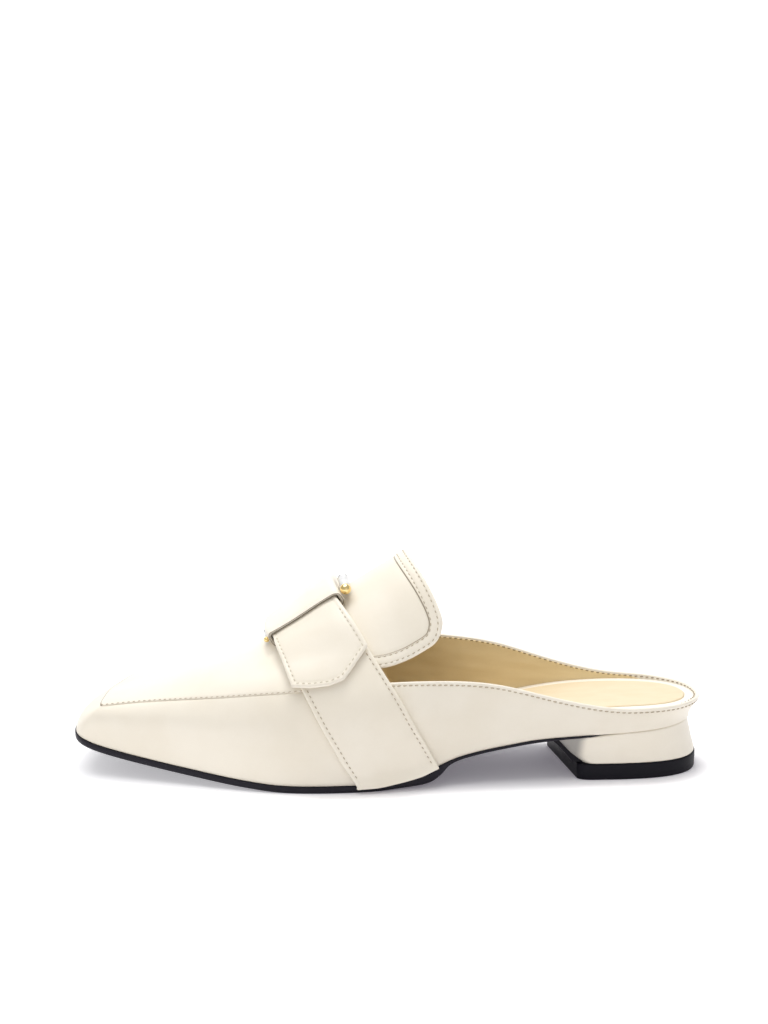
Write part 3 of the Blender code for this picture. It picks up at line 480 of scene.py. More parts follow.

# %% [markdown]
# ## The finishes
# Smooth calf has a very fine, even grain, a little unevenness where the hide was looser, and a soft
# shine. Where it is turned over an edge it is stretched, so the grain opens and the surface
# polishes. Three attributes tell the finish where it is: "worn" is 1 on such edges, the seam mark
# is 1 along seams, where shade is painted into the colour as a dark line, and the tucked mark is
# near 1 where the heel's cover is turned in under the seat, where shade is painted into the colour.
# The finish could be painted as an image, but noise on the piece's own coordinates never stretches
# or repeats.

# %% Cream leather
# Painted shade: the colours that the heel cover's turned-in corner and the lines along seams are
# darkened towards.
TUCKED_SHADE, SEAM_SHADE = (0.29, 0.275, 0.255), (0.36, 0.30, 0.22)


def smooth_leather(name, light, deep, grain, shine):
    """Fine-grained leather: cloudy colour, faint pores, grain as bump, brighter, smoother edges, and
    painted shade along seams and in the heel's turned-in corner.
    """
    finish = Finish(name, Roughness=shine, Coat_Weight=0.06, Coat_Roughness=0.35,
                    Sheen_Weight=0.10, Sheen_Roughness=0.45)
    worn = finish.attribute("worn")
    cloud = finish.noise(42.0, 3.0)
    fine = finish.noise(900.0, 2.0)
    pore = finish.cells(grain)
    share = cloud.between(0.30, 0.70) * 0.55 + fine * 0.25 + worn * -0.35
    # Painted shade: the seam mark and the tucked mark darken the colour where shade would fall.
    painted_seam_shade, tucked_and_painted_shade = finish.attribute("painted_seam_shade").between(0.1, 0.9), finish.attribute("tucked_and_painted_shade")
    plain = finish.tint(tucked_and_painted_shade, finish.tint(share, light, deep), TUCKED_SHADE)
    colour = finish.tint(painted_seam_shade, plain, SEAM_SHADE)
    rough = cloud * 0.10 + fine * 0.08 + worn * -0.06 + (shine - 0.09)
    soft = finish.bump(cloud, 0.0006, 0.25)
    skin = finish.bump(pore + fine * 0.6, 0.00005, 0.30, soft)
    return finish.into(Base_Color=colour, Roughness=rough, Normal=skin)


CREAM_LIGHT, CREAM_DEEP = (0.860, 0.800, 0.690), (0.800, 0.730, 0.605)
cream = smooth_leather("cream_calf", CREAM_LIGHT, CREAM_DEEP, 2100.0, 0.44)
rim_cream = smooth_leather("rim_calf", (0.90, 0.85, 0.75), (0.84, 0.78, 0.66), 1700.0, 0.50)
print("leathers:", cream.name, rim_cream.name)


# %% Cut edges, lining and sock
def cut_edge(name):
    """The keeper's leather: calf, but stained dark on its cut edges, where the attribute "cut" is 1."""
    finish = Finish(name, Roughness=0.46, Coat_Weight=0.05, Coat_Roughness=0.35, Sheen_Weight=0.08)
    cut = finish.attribute("cut").between(0.35, 0.75)
    cloud = finish.noise(60.0, 3.0)
    fibre = finish.noise(1500.0, 3.0, (1.0, 1.0, 0.4))
    face = finish.tint(cloud.between(0.3, 0.7) * 0.6, CREAM_LIGHT, CREAM_DEEP)
    stain = finish.tint(fibre, (0.24, 0.19, 0.125), (0.36, 0.30, 0.21))
    rough = cut * 0.2 + cloud * 0.1 + 0.38
    skin = finish.bump(finish.cells(2000.0) * 0.6 + fibre * cut * 2.0, 0.00006, 0.35)
    return finish.into(Base_Color=finish.tint(cut, face, stain), Roughness=rough, Normal=skin)


def lining_leather(name, light, deep, shine, stretch):
    """Unfinished lining leather: long faint streaks along the foot, a dry surface."""
    finish = Finish(name, Roughness=shine, Sheen_Weight=0.12, Sheen_Roughness=0.6)
    streak = finish.noise(190.0, 4.0, stretch)
    fine = finish.noise(1300.0, 3.0)
    cloud = finish.noise(36.0, 2.0)
    share = streak.between(0.25, 0.75) * 0.55 + fine * 0.25 + cloud * 0.20
    rough = streak * 0.10 + fine * 0.10 + (shine - 0.10)
    skin = finish.bump(fine, 0.00005, 0.30, finish.bump(streak, 0.00012, 0.35))
    return finish.into(Base_Color=finish.tint(share, light, deep), Roughness=rough, Normal=skin)


keeper_leather = cut_edge("keeper_calf")
lining_tan = lining_leather("lining_tan", (0.850, 0.685, 0.395), (0.740, 0.570, 0.300), 0.62,
                            (0.22, 1.0, 1.0))
sock_tan = lining_leather("sock_tan", (0.785, 0.655, 0.445), (0.725, 0.590, 0.375), 0.55,
                          (0.5, 1.0, 1.0))
print("linings:", lining_tan.name, sock_tan.name)


# %% Sole, rubber, metal and thread
def black_edge(name, tone, lighter, shine, grain):
    """Black sole material: an even stain with fine scuffs that catch the light."""
    finish = Finish(name, Roughness=shine, Coat_Weight=0.03, Coat_Roughness=0.3,
                    Specular_IOR_Level=0.15)
    scuff = finish.noise(grain, 4.0, (0.35, 0.35, 1.6))
    cloud = finish.noise(70.0, 2.0)
    worn = finish.attribute("worn")
    share = scuff.between(0.55, 0.80) * 0.35 + worn * 0.45 + cloud * 0.2
    rough = scuff * 0.16 + cloud * 0.08 + (shine - 0.10)
    skin = finish.bump(scuff, 0.00008, 0.35)
    return finish.into(Base_Color=finish.tint(share, tone, lighter), Roughness=rough, Normal=skin)


def plated(name, tone, deep, shine):
    """Polished plating: metal with faint polishing haze."""
    finish = Finish(name, Metallic=1.0, Roughness=shine)
    haze = finish.noise(420.0, 3.0)
    fine = finish.noise(2600.0, 2.0, (0.3, 1.0, 1.0))
    colour = finish.tint(haze.between(0.35, 0.70), tone, deep)
    rough = haze * 0.10 + fine * 0.05 + (shine - 0.06)
    return finish.into(Base_Color=colour, Roughness=rough, Normal=finish.bump(fine, 0.00001, 0.2))


def sewing_thread(name, tone, shade):
    """Twisted thread: two plies along the stitch, and painted shade towards its ends, where it dives
    into its holes.
    """
    finish = Finish(name, Roughness=0.6, Sheen_Weight=0.2)
    painted_hole_shade = finish.attribute("painted_hole_shade")
    ply = finish.node("ShaderNodeTexWave", {"wave_type": "BANDS", "bands_direction": "DIAGONAL"},
                      Vector=finish.place(), Scale=520.0, Distortion=1.0)
    return finish.into(Base_Color=finish.tint(painted_hole_shade ** 2.0, tone, shade), Roughness=ply * 0.1 + 0.55,
                       Normal=finish.bump(ply, 0.00004, 0.5))


sole_black = black_edge("sole_black", (0.0045, 0.0035, 0.0065), (0.018, 0.016, 0.024), 0.42, 420.0)
lift_black = black_edge("lift_black", (0.0030, 0.0026, 0.0060), (0.009, 0.008, 0.015), 0.50, 900.0)
gold = plated("pale_gold", (0.98, 0.78, 0.38), (0.90, 0.66, 0.27), 0.16)
silver = plated("pale_steel", (0.80, 0.80, 0.79), (0.70, 0.70, 0.69), 0.42)
# The two outside threads are greyer than the cream thread of the shoe: their tone is partly the
# thread's own and partly painted shade of the stitch holes.
thread = sewing_thread("thread", (0.50, 0.42, 0.30), (0.28, 0.225, 0.15))
pale_thread = sewing_thread("pale_thread", (0.66, 0.60, 0.47), (0.46, 0.40, 0.29))
dark_thread = sewing_thread("dark_thread", (0.25, 0.17, 0.075), (0.12, 0.08, 0.035))
print("materials made:", len(bpy.data.materials))

# %% [markdown]
# ## Surfaces from grids
# Every piece is a grid of points, its rows and columns joined by quads. A grid may close on itself
# one way, as a collar does round the shoe, or both ways, as a leather loop does. Extrusions and
# sculpting could make these pieces too, but a grid says exactly where each edge, channel and crease
# lies.

# %% Mesh helpers
def quads(index, wrap_rows=False, wrap_columns=False):
    """The quads of a grid of point numbers."""
    if wrap_rows:
        index = np.concatenate([index, index[:1]])
    if wrap_columns:
        index = np.concatenate([index, index[:, :1]], 1)
    return np.stack([index[:-1, :-1], index[:-1, 1:], index[1:, 1:], index[1:, :-1]], -1).reshape(-1, 4)


def piece(name, vertices, faces, finishes, slot, marks=None, slots=None, sharp=None):
    """An object from points and four-cornered faces. A face whose corners repeat becomes a triangle.

    marks are numbers for each point, by attribute name. slots says which finish each face takes.
    """
    vertices = np.asarray(vertices, float).reshape(-1, 3) + CENTRE
    faces = np.asarray(faces)
    same = faces == np.roll(faces, -1, 1)
    keep = same.sum(1) < 2
    faces, same = faces[keep], same[keep]
    used, loops = np.unique(faces[~same], return_inverse=True)
    vertices = vertices[used]
    counts = (~same).sum(1)
    mesh = bpy.data.meshes.new(name)
    mesh.vertices.add(len(vertices))
    mesh.vertices.foreach_set("co", vertices.astype(np.float32).ravel())
    mesh.loops.add(len(loops))
    mesh.loops.foreach_set("vertex_index", loops.astype(np.int32))
    mesh.polygons.add(len(faces))
    starts = np.concatenate([[0], np.cumsum(counts)[:-1]])
    mesh.polygons.foreach_set("loop_start", starts.astype(np.int32))
    if slots is not None:
        mesh.polygons.foreach_set("material_index", np.asarray(slots)[keep].astype(np.int32))
    mesh.update(calc_edges=True)
    mesh.validate()
    mesh.shade_smooth()
    if sharp:
        mesh.set_sharp_from_angle(angle=math.radians(sharp))
    for key, values in (marks or {}).items():
        kept = np.ravel(values)[used].astype(np.float32)
        mesh.attributes.new(key, "FLOAT", "POINT").data.foreach_set("value", kept)
    for finish in finishes if isinstance(finishes, list) else [finishes]:
        mesh.materials.append(finish)
    made = bpy.data.objects.new(name, mesh)
    bpy.context.scene.collection.objects.link(made)
    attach(made, "root")
    return made


def face_outwards(made):
    """Turns all faces of a closed piece to point outwards."""
    work = bmesh.new()
    work.from_mesh(made.data)
    bmesh.ops.recalc_face_normals(work, faces=work.faces)
    work.to_mesh(made.data)
    work.free()
    return made


def grid_piece(name, grid, finishes, slot, wrap_rows=False, wrap_columns=False, **more):
    """One grid of points as a piece."""
    index = np.arange(grid.shape[0] * grid.shape[1]).reshape(grid.shape[:2])
    return piece(name, grid, quads(index, wrap_rows, wrap_columns), finishes, slot, **more)


def sheet_piece(name, low, high, finishes, slot, marks=None, folded=False, **more):
    """A closed sheet between two grids of the same size, with a wall round its rim.

    If it is folded, its last row is bent in the middle, so that its two halves are one line of points.
    """
    rows, columns = low.shape[:2]
    index = np.arange(rows * columns).reshape(rows, columns)
    last = index[-1, :0:-1]
    if folded:
        index[-1] = index[-1, np.minimum(np.arange(columns), columns - 1 - np.arange(columns))]
        last = last[:0]
    rim = np.concatenate([index[0, :-1], index[:-1, -1], last, index[:0:-1, 0]])
    ahead, over = np.roll(rim, -1), rows * columns
    wall = np.stack([rim, ahead, ahead + over, rim + over], -1)
    faces = np.concatenate([quads(index)[:, ::-1], quads(index + over), wall])
    marks = {key: np.tile(np.ravel(value), 2) for key, value in (marks or {}).items()}
    both = np.concatenate([low.reshape(-1, 3), high.reshape(-1, 3)])
    return face_outwards(piece(name, both, faces, finishes, slot, marks, **more))


def grid_normals(grid):
    """Across each point of a grid: the cross product of its steps along both ways."""
    return unit(np.cross(np.gradient(grid, axis=1), np.gradient(grid, axis=0)))


def distance_to(path, spots):
    """How far each spot is from the nearest part of a path of points."""
    flat = spots.reshape(-1, 3)
    start, way = path[:-1], path[1:] - path[:-1]
    length = np.maximum((way ** 2).sum(-1), 1e-18)
    nearest = np.full(len(flat), 1e9)
    for a, w, square in zip(start, way, length):
        t = np.clip((flat - a) @ w / square, 0.0, 1.0)
        nearest = np.minimum(nearest, np.linalg.norm(flat - a - t[:, None] * w, axis=-1))
    return nearest.reshape(spots.shape[:-1])


def rounded(distance, radius):
    """0 on an edge, rising along a quarter circle to 1 at radius inside it."""
    return np.sqrt(1.0 - np.clip(1.0 - distance / radius, 0.0, 1.0) ** 2)


def channel(distance, at, width=0.00042):
    """1 on the line at that distance from the edge, falling away on both sides."""
    return np.exp(-((distance - at) / width) ** 2)


def path_reach(path):
    """How far along a path of points each one lies."""
    return np.concatenate([[0.0], np.cumsum(np.linalg.norm(np.diff(path, axis=0), axis=-1))])


def read_path(values, reach, at):
    """Points or directions between those of a path, at lengths along it."""
    return np.stack([np.interp(at, reach, values[:, k]) for k in range(3)], -1)


NEAR_EDGE = np.array((0, 6, 18, 36, 60, 90, 115, 140, 165, 190, 240, 320)) * 0.00001
print("mesh helpers ready")

# %% [markdown]
# ## Stitches
# A lockstitch shows as a row of short, slightly slanted dashes that dive into holes, drawn down
# into a soft channel. One stitch is a little arched capsule of a few dozen faces. A row of them is
# one mesh: the same capsule set down at even steps along a path, each turned to the path and to the
# surface beneath it.

# %% Stitch rows
STITCH_PITCH, STITCH_LENGTH, STITCH_RADIUS = 0.00238, 0.00135, 0.00022
STITCH_SLANT = math.radians(7.0)
CAPSULE_PLACE = np.array((-1.0, -0.8, -0.4, 0.0, 0.4, 0.8, 1.0))
CAPSULE_GIRTH = np.array((0.05, 0.62, 0.95, 1.0, 0.95, 0.62, 0.05))
SIDES = 6
ROWS_MADE = []


def capsule_faces():
    """A tube of quads, and two quads over each of its six-sided ends."""
    index = np.arange(len(CAPSULE_PLACE) * SIDES).reshape(-1, SIDES)
    first, last = index[0], index[-1]
    ends = [first[[3, 2, 1, 0]], first[[0, 5, 4, 3]], last[[0, 1, 2, 3]], last[[3, 4, 5, 0]]]
    return np.concatenate([quads(index, wrap_columns=True), ends])


def stitch_row(name, path, normals, finish=thread, length=STITCH_LENGTH, radius=STITCH_RADIUS):
    """Capsules at even steps along path. Each one's middle line is an arch whose ends sink in."""
    reach = path_reach(path)
    spots = np.arange(0.5 * STITCH_PITCH, reach[-1] - 0.4 * STITCH_PITCH, STITCH_PITCH)
    up = unit(read_path(normals, reach, spots))
    ahead, behind = (read_path(path, reach, spots + part * length) for part in (0.3, -0.3))
    along = unit(ahead - behind)
    side = unit(np.cross(up, along))
    cos, sin = math.cos(STITCH_SLANT), math.sin(STITCH_SLANT)
    along, side = along * cos + side * sin, side * cos - along * sin
    angle = np.arange(SIDES) * 2.0 * math.pi / SIDES
    sink = 0.35 - 1.25 * CAPSULE_PLACE ** 4
    x = np.repeat(CAPSULE_PLACE, SIDES) * length / 2.0
    y = np.outer(CAPSULE_GIRTH, np.cos(angle)).ravel() * radius
    z = (np.outer(CAPSULE_GIRTH, np.sin(angle)) + sink[:, None]).ravel() * radius
    body = read_path(path, reach, spots)[:, None]
    for direction, far in ((along, x), (side, y), (up, z)):
        body = body + direction[:, None] * far[:, None]
    faces = capsule_faces() + len(x) * np.arange(len(spots))[:, None, None]
    # Painted shade: 1 at each stitch's ends, where the thread goes into its hole.
    painted_hole_shade = np.tile(np.repeat(np.abs(CAPSULE_PLACE), SIDES), len(spots))
    made = piece(name, body, faces.reshape(-1, 4), finish, "cream_leather", {"painted_hole_shade": painted_hole_shade})
    ROWS_MADE.append((name, len(spots)))
    return face_outwards(made)


print("a stitch has", len(capsule_faces()), "faces")


# %% [markdown]
# ## Creases
# New leather drawn over a last isn't a perfect surface: it bulges a little where the board behind
# it ends, and it keeps faint flex lines ahead of the strap. Each is a soft trough with low
# shoulders beside it, laid along a line on the form. A negative depth makes a ridge. Sculpting them
# would hide their sizes; this table keeps them plain, in metres.

# %% Troughs and ridges
# start_row, start_way, end_row, end_way, width, depth
CREASES = (
    (11.2, -0.69, 16.2, -0.66, 0.0052, -0.00022),
    (11.2, 0.69, 16.2, 0.66, 0.0052, -0.00018),
    (10.55, -0.60, 10.75, -0.86, 0.0030, 0.00012),
    (11.15, -0.60, 11.40, -0.80, 0.0036, 0.00010),
    (10.55, 0.62, 10.80, 0.84, 0.0030, 0.00012),
    (11.20, 0.60, 11.45, 0.78, 0.0036, 0.00010),
    (10.45, -0.34, 10.62, 0.30, 0.0032, 0.00012),
    (11.10, -0.28, 11.25, 0.30, 0.0040, 0.00009),
    (5.20, -0.66, 7.20, -0.70, 0.0060, 0.00016),
    (5.20, 0.66, 7.20, 0.72, 0.0060, 0.00016),
    (3.40, -0.74, 5.00, -0.80, 0.0040, -0.00010),
)


def creased(spots):
    """How far the leather stands off its even form: each line's trough, less a third as shoulders."""
    lift = np.zeros(spots.shape[:-1])
    for start_row, start_way, end_row, end_way, width, depth in CREASES:
        t = np.linspace(0.0, 1.0, 13)
        line = across(part_way(start_row, end_row, t), part_way(start_way, end_way, t))
        away = distance_to(line, spots)
        lift += depth * (0.33 * channel(away, 1.9 * width, width) - channel(away, 0.0, width))
    return lift


def drawn(spots, size, depth):
    """Very low, broad unevenness: three sine waves that cross one another."""
    x, y, z = (spots[..., k] / size for k in range(3))
    waves = np.sin(2.1 * x + 1.3 * z) + np.sin(1.7 * y - 2.3 * z + 1.0) + np.sin(2.9 * x + 2.2 * y)
    return depth * waves / 3.0


print("creases:", len(CREASES))

# %% [markdown]
# ## The upper's wall
# The quarters and the vamp's wall are drawn down over the last and turned under at the sole. The
# collar's edge is turned in: the leather rolls over the top and down the inside, with a row of
# stitches just below the fold. In front of the throat the wall runs on under the apron instead. One
# grid goes all the way round, so the two ways of finishing the top are blended where the strap
# hides them.

# %% Upper
UPPER_COLUMNS = 440
ROLL = 0.00075          # radius of the collar's fold
COLLAR_STITCH, COLLAR_STITCH_INSIDE = 0.0010, 0.0005    # below the fold
TOP_STEPS = np.array((28, 22, 18, 15, 12, 10, 8, 5, 2, 0)) * 0.0001


def signed(place):
    """A place round the loop as a section number, negative on the inner side."""
    return np.where(place <= LAST_ROW, place, place - 2.0 * LAST_ROW)


def upper_grid():
    """From the sole up: the turned-under edge, the wall, the collar's roll or the apron's margin."""
    row = signed(np.arange(UPPER_COLUMNS) * (2.0 * LAST_ROW / UPPER_COLUMNS))[None, :]
    tall = wall_height(row)
    near = 1.0 - (TOP_STEPS[:, None] + ROLL) / tall
    low = np.linspace(0.0, 1.0, 27)[:-1, None] * near[:1]
    rise = 0.5 * np.concatenate([low, near])
    out = form_normal(row, rise)
    wall = form(row, rise)
    below = (0.5 - rise) * 2.0 * tall - ROLL
    collar = 1.0 - blend(np.abs(row), 8.75, 9.25)
    lift = creased(wall) * blend(below, 0.0, 0.008) + drawn(wall, 0.011, 0.00006)
    lift -= 0.00013 * channel(below, COLLAR_STITCH) * collar
    wall = wall + out * lift[..., None]
    under = [form(row, 0.0) + form_normal(row, 0.0) * -inwards - points(0.0, 0.0, down)
             for inwards, down in ((0.0011, 0.0003), (0.0003, 0.0002))]
    top, outwards = wall[-1:], out[-1:]
    upwards = unit(form(row, rise[-1:]) - form(row, rise[-1:] - 0.01))
    centre = top - outwards * ROLL
    turn = np.radians(np.linspace(18.0, 180.0, 10))[:, None, None]
    rolled = centre + ROLL * (np.cos(turn) * outwards + np.sin(turn) * upwards)
    inner = centre - ROLL * outwards - upwards * np.array((0.0012, 0.0030))[:, None, None]
    rolled = np.concatenate([rolled, inner])
    margin = 0.5 + 0.005 * np.arange(len(rolled))[:, None]
    tucked_and_painted_shade = form(row, margin) - form_normal(row, margin) * 0.00035
    mix = collar[..., None]
    grid = np.concatenate([*under, wall, rolled * mix + tucked_and_painted_shade * (1.0 - mix)])
    return grid[:, ::-1], below[:, ::-1], collar[:, ::-1]


upper_points, below_top, is_collar = upper_grid()
upper_worn = np.zeros(upper_points.shape[:2])
upper_worn[2:2 + len(below_top)] = is_collar * (1.0 - blend(below_top, 0.0002, 0.0010))
upper_worn[2 + len(below_top):] = is_collar
upper = grid_piece("upper_leather", upper_points, cream, "cream_leather", wrap_columns=True,
                   marks={"worn": upper_worn})
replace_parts(upper, "upper")
print("upper:", upper_points.shape[:2])


# %% Collar stitches
COLLAR_END = 8.9


def collar_row(name, below, shift, facing, finish, length, radius):
    """Stitches so far below the collar's fold, shifted off the form, and facing out (1) or in (-1)."""
    row = np.linspace(-COLLAR_END, COLLAR_END, 260)
    rise = 0.5 * (1.0 - (below + ROLL) / wall_height(row))
    out = form_normal(row, rise)
    return stitch_row(name, form(row, rise) + out * shift, out * facing, finish, length, radius)


collar_row("stitches_collar", COLLAR_STITCH, -0.00010, 1.0, thread, 0.0017, 0.00027)
collar_row("stitches_collar_inside", COLLAR_STITCH_INSIDE, -2.0 * ROLL - 0.00046, -1.0, dark_thread,
           0.0014, 0.00022)
print(ROWS_MADE)

# %% [markdown]
# ## The lining
# Tan leather lines the shoe inside, from just below the collar's fold down to the footbed, and
# under the vamp. It was drawn forward over the last, so it keeps long shallow drag lines. It is a
# thin sheet of its own, so its top edge shows. Round the heel the footbed rises to the collar and
# the lining ends beneath it.

# %% Lining
LINING_THICK = 0.0004


def lining_offset(spots):
    """Drag lines: long low waves that run along the foot."""
    x, z = spots[..., 0], spots[..., 2]
    return 0.00010 * np.sin(2.0 * math.pi * (z / 0.0062 + 4.0 * x)) * np.sin(2.0 * math.pi * x / 0.045)


def quarter_lining():
    """The sheet's back and front, from the footbed up the wall's inside to its rounded top edge."""
    row = np.linspace(-9.4, 9.4, 240)[None, :]
    tall = wall_height(row)
    high = 1.0 - (0.0011 + 0.0030 * (1.0 - blend(np.abs(row), 2.2, 3.4))) / tall
    share = np.concatenate([np.linspace(0.0, 0.93, 30), (0.95, 0.965, 0.98, 0.99, 0.996, 1.0)])[:, None]
    rise = 0.5 * (0.05 + share * (high - 0.05))
    out, base = form_normal(row, rise), form(row, rise)
    back = -2.0 * ROLL - 0.00005
    near_top = rounded((1.0 - share) * tall, LINING_THICK)
    front = back - LINING_THICK * (0.15 + 0.85 * near_top)
    front = front - (lining_offset(base) + 0.0001) * blend((1.0 - share) * tall, 0.002, 0.006)
    return base + out * back, base + out * front[..., None]


back_side, front_side = quarter_lining()
quarters_lining = sheet_piece("lining_quarters", back_side, front_side, lining_tan, "tan_leather")
row, way = np.linspace(8.95, 17.9, 90)[:, None], np.linspace(-0.97, 0.97, 110)[None, :]
vamp_lining = sheet_piece("lining_vamp", off_form(row, way, -WALL),
                          off_form(row, way, -WALL - LINING_THICK), lining_tan, "tan_leather")
print("lining sheets:", quarters_lining.name, vamp_lining.name)

# %% [markdown]
# ## The apron
# The top of the vamp is a separate panel, the apron, whose edge is sewn down flat on the wall. Its
# sides are topstitched; across the square toe the seam is plain. At the very toe the sections close
# up, so the last row of the grid is folded onto itself and its twin points are shared.

# %% Apron
APRON_THICK, SEAM_STITCH = 0.00042, 0.00030


def edge_steps(width, inner):
    """Places across a strip, 0 to 1: NEAR_EDGE in from both edges, and inner even steps between."""
    side = NEAR_EDGE / np.asarray(width, float)[..., None]
    last, even = side[..., -1:], np.linspace(0.0, 1.0, inner + 2)[1:-1]
    return np.concatenate([side, last + (1.0 - 2.0 * last) * even, 1.0 - side[..., ::-1]], -1)


APRON_START, CORNER_START, CORNER_END = 8.9, 14.6, 16.6
rows = np.concatenate([np.linspace(APRON_START, CORNER_START, 60),
                       np.linspace(CORNER_START, CORNER_END, 56)[1:],
                       np.linspace(CORNER_END, LAST_ROW, 24)[1:]])
widths = sum(np.linalg.norm(across(rows, 0.0) - across(rows, side), axis=-1) for side in (-0.5, 0.5))
way = edge_steps(widths, 46) - 0.5
row = np.broadcast_to(rows[:, None], way.shape)
base = across(row, way)
border = np.concatenate([across(rows, -0.5), across(rows[::-1], 0.5)])
inside = distance_to(border, base)
plain = blend(rows, 15.2, 15.6)[:, None]
lift = APRON_THICK * rounded(inside, 0.00045) - 0.00014 * channel(inside, SEAM_STITCH) * (1.0 - plain)
lift += (creased(base) + drawn(base, 0.013, 0.00005)) * blend(inside, 0.0015, 0.008)
# Painted shade: a dark line along the apron's edge, plain across the toe and broad on the inner half of
# the toe's front, where it stands in for the shade at the outline.
broad = (blend(rows, 13.2, 14.6) * blend(LAST_ROW - rows, 0.0, 1.0))[:, None] * (way > 0.0)
seam_start = 0.00008 + 0.00045 * plain + 0.0006 * broad
seam_end = 0.0003 + 0.0009 * plain + 0.0014 * broad
painted_seam_shade = (1.0 - blend(inside, seam_start, seam_end)) * part_way(0.22, 1.0, np.maximum(plain, broad))
sheet_piece("apron", off_form(row, way, -0.00060), off_form(row, way, lift - 0.00002), cream,
            "cream_leather", {"worn": 1.0 - blend(inside, 0.0001, 0.0009), "painted_seam_shade": painted_seam_shade}, folded=True)
print("apron grid:", way.shape)

# %% Apron stitches
line = np.linspace(APRON_START, 15.75, 260)
for name, side in (("stitches_apron_outer", -1.0), ("stitches_apron_inner", 1.0)):
    reach = np.linalg.norm(across(line, 0.0) - across(line, 0.5 * side), axis=-1)
    place = side * (0.5 - 0.5 * SEAM_STITCH / reach)
    spot = off_form(line, place, APRON_THICK - 0.00010)
    stitch_row(name, spot, unit(spot - across(line, place)), length=0.0012, radius=0.00016)
print(ROWS_MADE[-2:])


# %% [markdown]
# ## The saddle strap
# The strap is two halves of folded leather that cross over the instep. The inner half lies on top
# and ends in a pointed tab on the outer side; the outer half passes beneath it. Each is topstitched
# close to its edges. A plain extruded band would look cut from card, so each sheet has rolled
# edges, a stitch channel, and a slight crown.

# %% Strap tables
# Place across the foot, then the sections of the back and of the front edge.
STRAP = np.array((
    (-1.00, 8.00, 10.05),
    (-0.93, 8.11, 10.19),
    (-0.85, 8.16, 10.24),
    (-0.76, 8.14, 10.215),
    (-0.66, 8.06, 10.13),
    (-0.58, 8.01, 10.05),
    (-0.50, 8.02, 10.00),
    (-0.42, 8.06, 9.96),
    (-0.32, 8.10, 9.92),
    (-0.22, 8.13, 9.865),
    (-0.15, 8.19, 9.835),
    (0.00, 8.29, 9.825),
    (0.12, 8.35, 9.82),
    (0.32, 8.32, 10.04),
    (0.50, 8.36, 10.24),
    (1.00, 8.42, 10.40),
)).T
TAB = np.array((
    (-0.52, 8.07, 10.18),
    (-0.41, 8.07, 10.09),
    (-0.32, 8.08, 9.99),
    (-0.20, 8.14, 9.86),
)).T
TAB_START = -0.20
# Share of the tab's width from its back edge, then where its end lies across the foot.
TAB_SHARE, TAB_END = np.array((
    (0.00, -0.362),
    (0.45, -0.481),
    (0.63, -0.499),
    (0.82, -0.501),
    (1.00, -0.491),
)).T
TAB_POINT = 0.45        # the tab's point, as a share of its width
TIP_LIFT = 0.0005       # its free end stands off a little
STRAP_STITCH, TAB_STITCH = 0.00190, 0.00170     # in from the edge
STRAP_WIDE, TAB_WIDE = 0.0310, 0.0315
RISE, FALL = (-0.38, -0.23), (0.14, 0.30)       # where the strap climbs on the keeper, and leaves it
FOLD_RADIUS, CROWN = 0.00085, 0.00016
RIM_SHARE = 0.42        # where in its thickness a folded edge is widest
THREAD_SUNK = 0.00006


def strap_lift(way):
    """Height of the outer half over the form: raised where the keeper passes beneath it."""
    way = np.asarray(way)
    on_keeper = blend(way, *RISE) * (1.0 - blend(way, *FALL))
    return GAP + (KEEPER_THICK + GAP) * on_keeper + SOLE_LAP * blend(np.abs(way), 0.94, 1.0)


def inner_lift(way, along):
    """Height of the inner half, which lies on the outer one. The tab's end, along 0, is higher."""
    on_outer = 1.0 - blend(way, *FALL)
    return strap_lift(way) + (STRAP_THICK + GAP) * on_outer + TIP_LIFT * (1.0 - along) ** 2


def band_row(band, way, share):
    """The section at a share of a band's width, by its place across the foot."""
    places, back, front = band
    return part_way(open_spline(places, back, way), open_spline(places, front, way), share)


def strap_width(way):
    """Straight distance between the strap's two edges."""
    back, front = (across(band_row(STRAP, way, share), way) for share in (0.0, 1.0))
    return np.linalg.norm(back - front, axis=-1)


def tab_place(share, along):
    """Section and place across the foot, at a share of the tab's width and of its length."""
    way = part_way(np.interp(share, TAB_SHARE, TAB_END), TAB_START, along)
    return band_row(TAB, way, share), way


print("strap's widths, m:", strap_width(np.array((-1.0, -0.5, 0.0, 0.5, 1.0))).round(4).tolist())


# %% A folded strip
def strap_half(name, row, way, lift, inside, share, solid):
    """A folded strip: both skins meet at the rim, the upper has a crown and the stitches' channel.

    Its last row of points laps the edge of the sole, most of all in front.
    """
    fold = rounded(inside, FOLD_RADIUS)
    low = lift + STRAP_THICK * RIM_SHARE * (1.0 - fold)
    high = lift + STRAP_THICK * part_way(RIM_SHARE, 1.0, fold)
    high = high - 0.00016 * channel(inside, STRAP_STITCH) + CROWN * blend(inside, 0.0018, 0.0070)
    lap = points(0.0, 0.0, SOLE_LAP * (0.1 + 0.9 * share ** 2))
    skins = [off_form(row, way, height) for height in (low, high)]
    skins = [np.concatenate([skin, skin[-1:] - lap]) for skin in skins]
    worn = 1.0 - blend(np.concatenate([inside, inside[-1:]]), 0.0001, 0.0008)
    made = sheet_piece(name, *skins, cream, "cream_leather", {"worn": worn}, sharp=70)
    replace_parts(made, solid)
    print(name + ":", way.shape)


# %% Strap, outer half
way = np.concatenate([np.arange(0.12, -0.39, -0.015), np.linspace(-0.395, -1.0, 56)])
width = strap_width(way)
share = edge_steps(width, 26)
way = way[:, None] + 0.0 * share
inside = np.minimum(share, 1.0 - share) * width[:, None]
strap_half("strap_outer_half", band_row(STRAP, way, share), way, strap_lift(way), inside, share[-1:],
           "strap_outer")

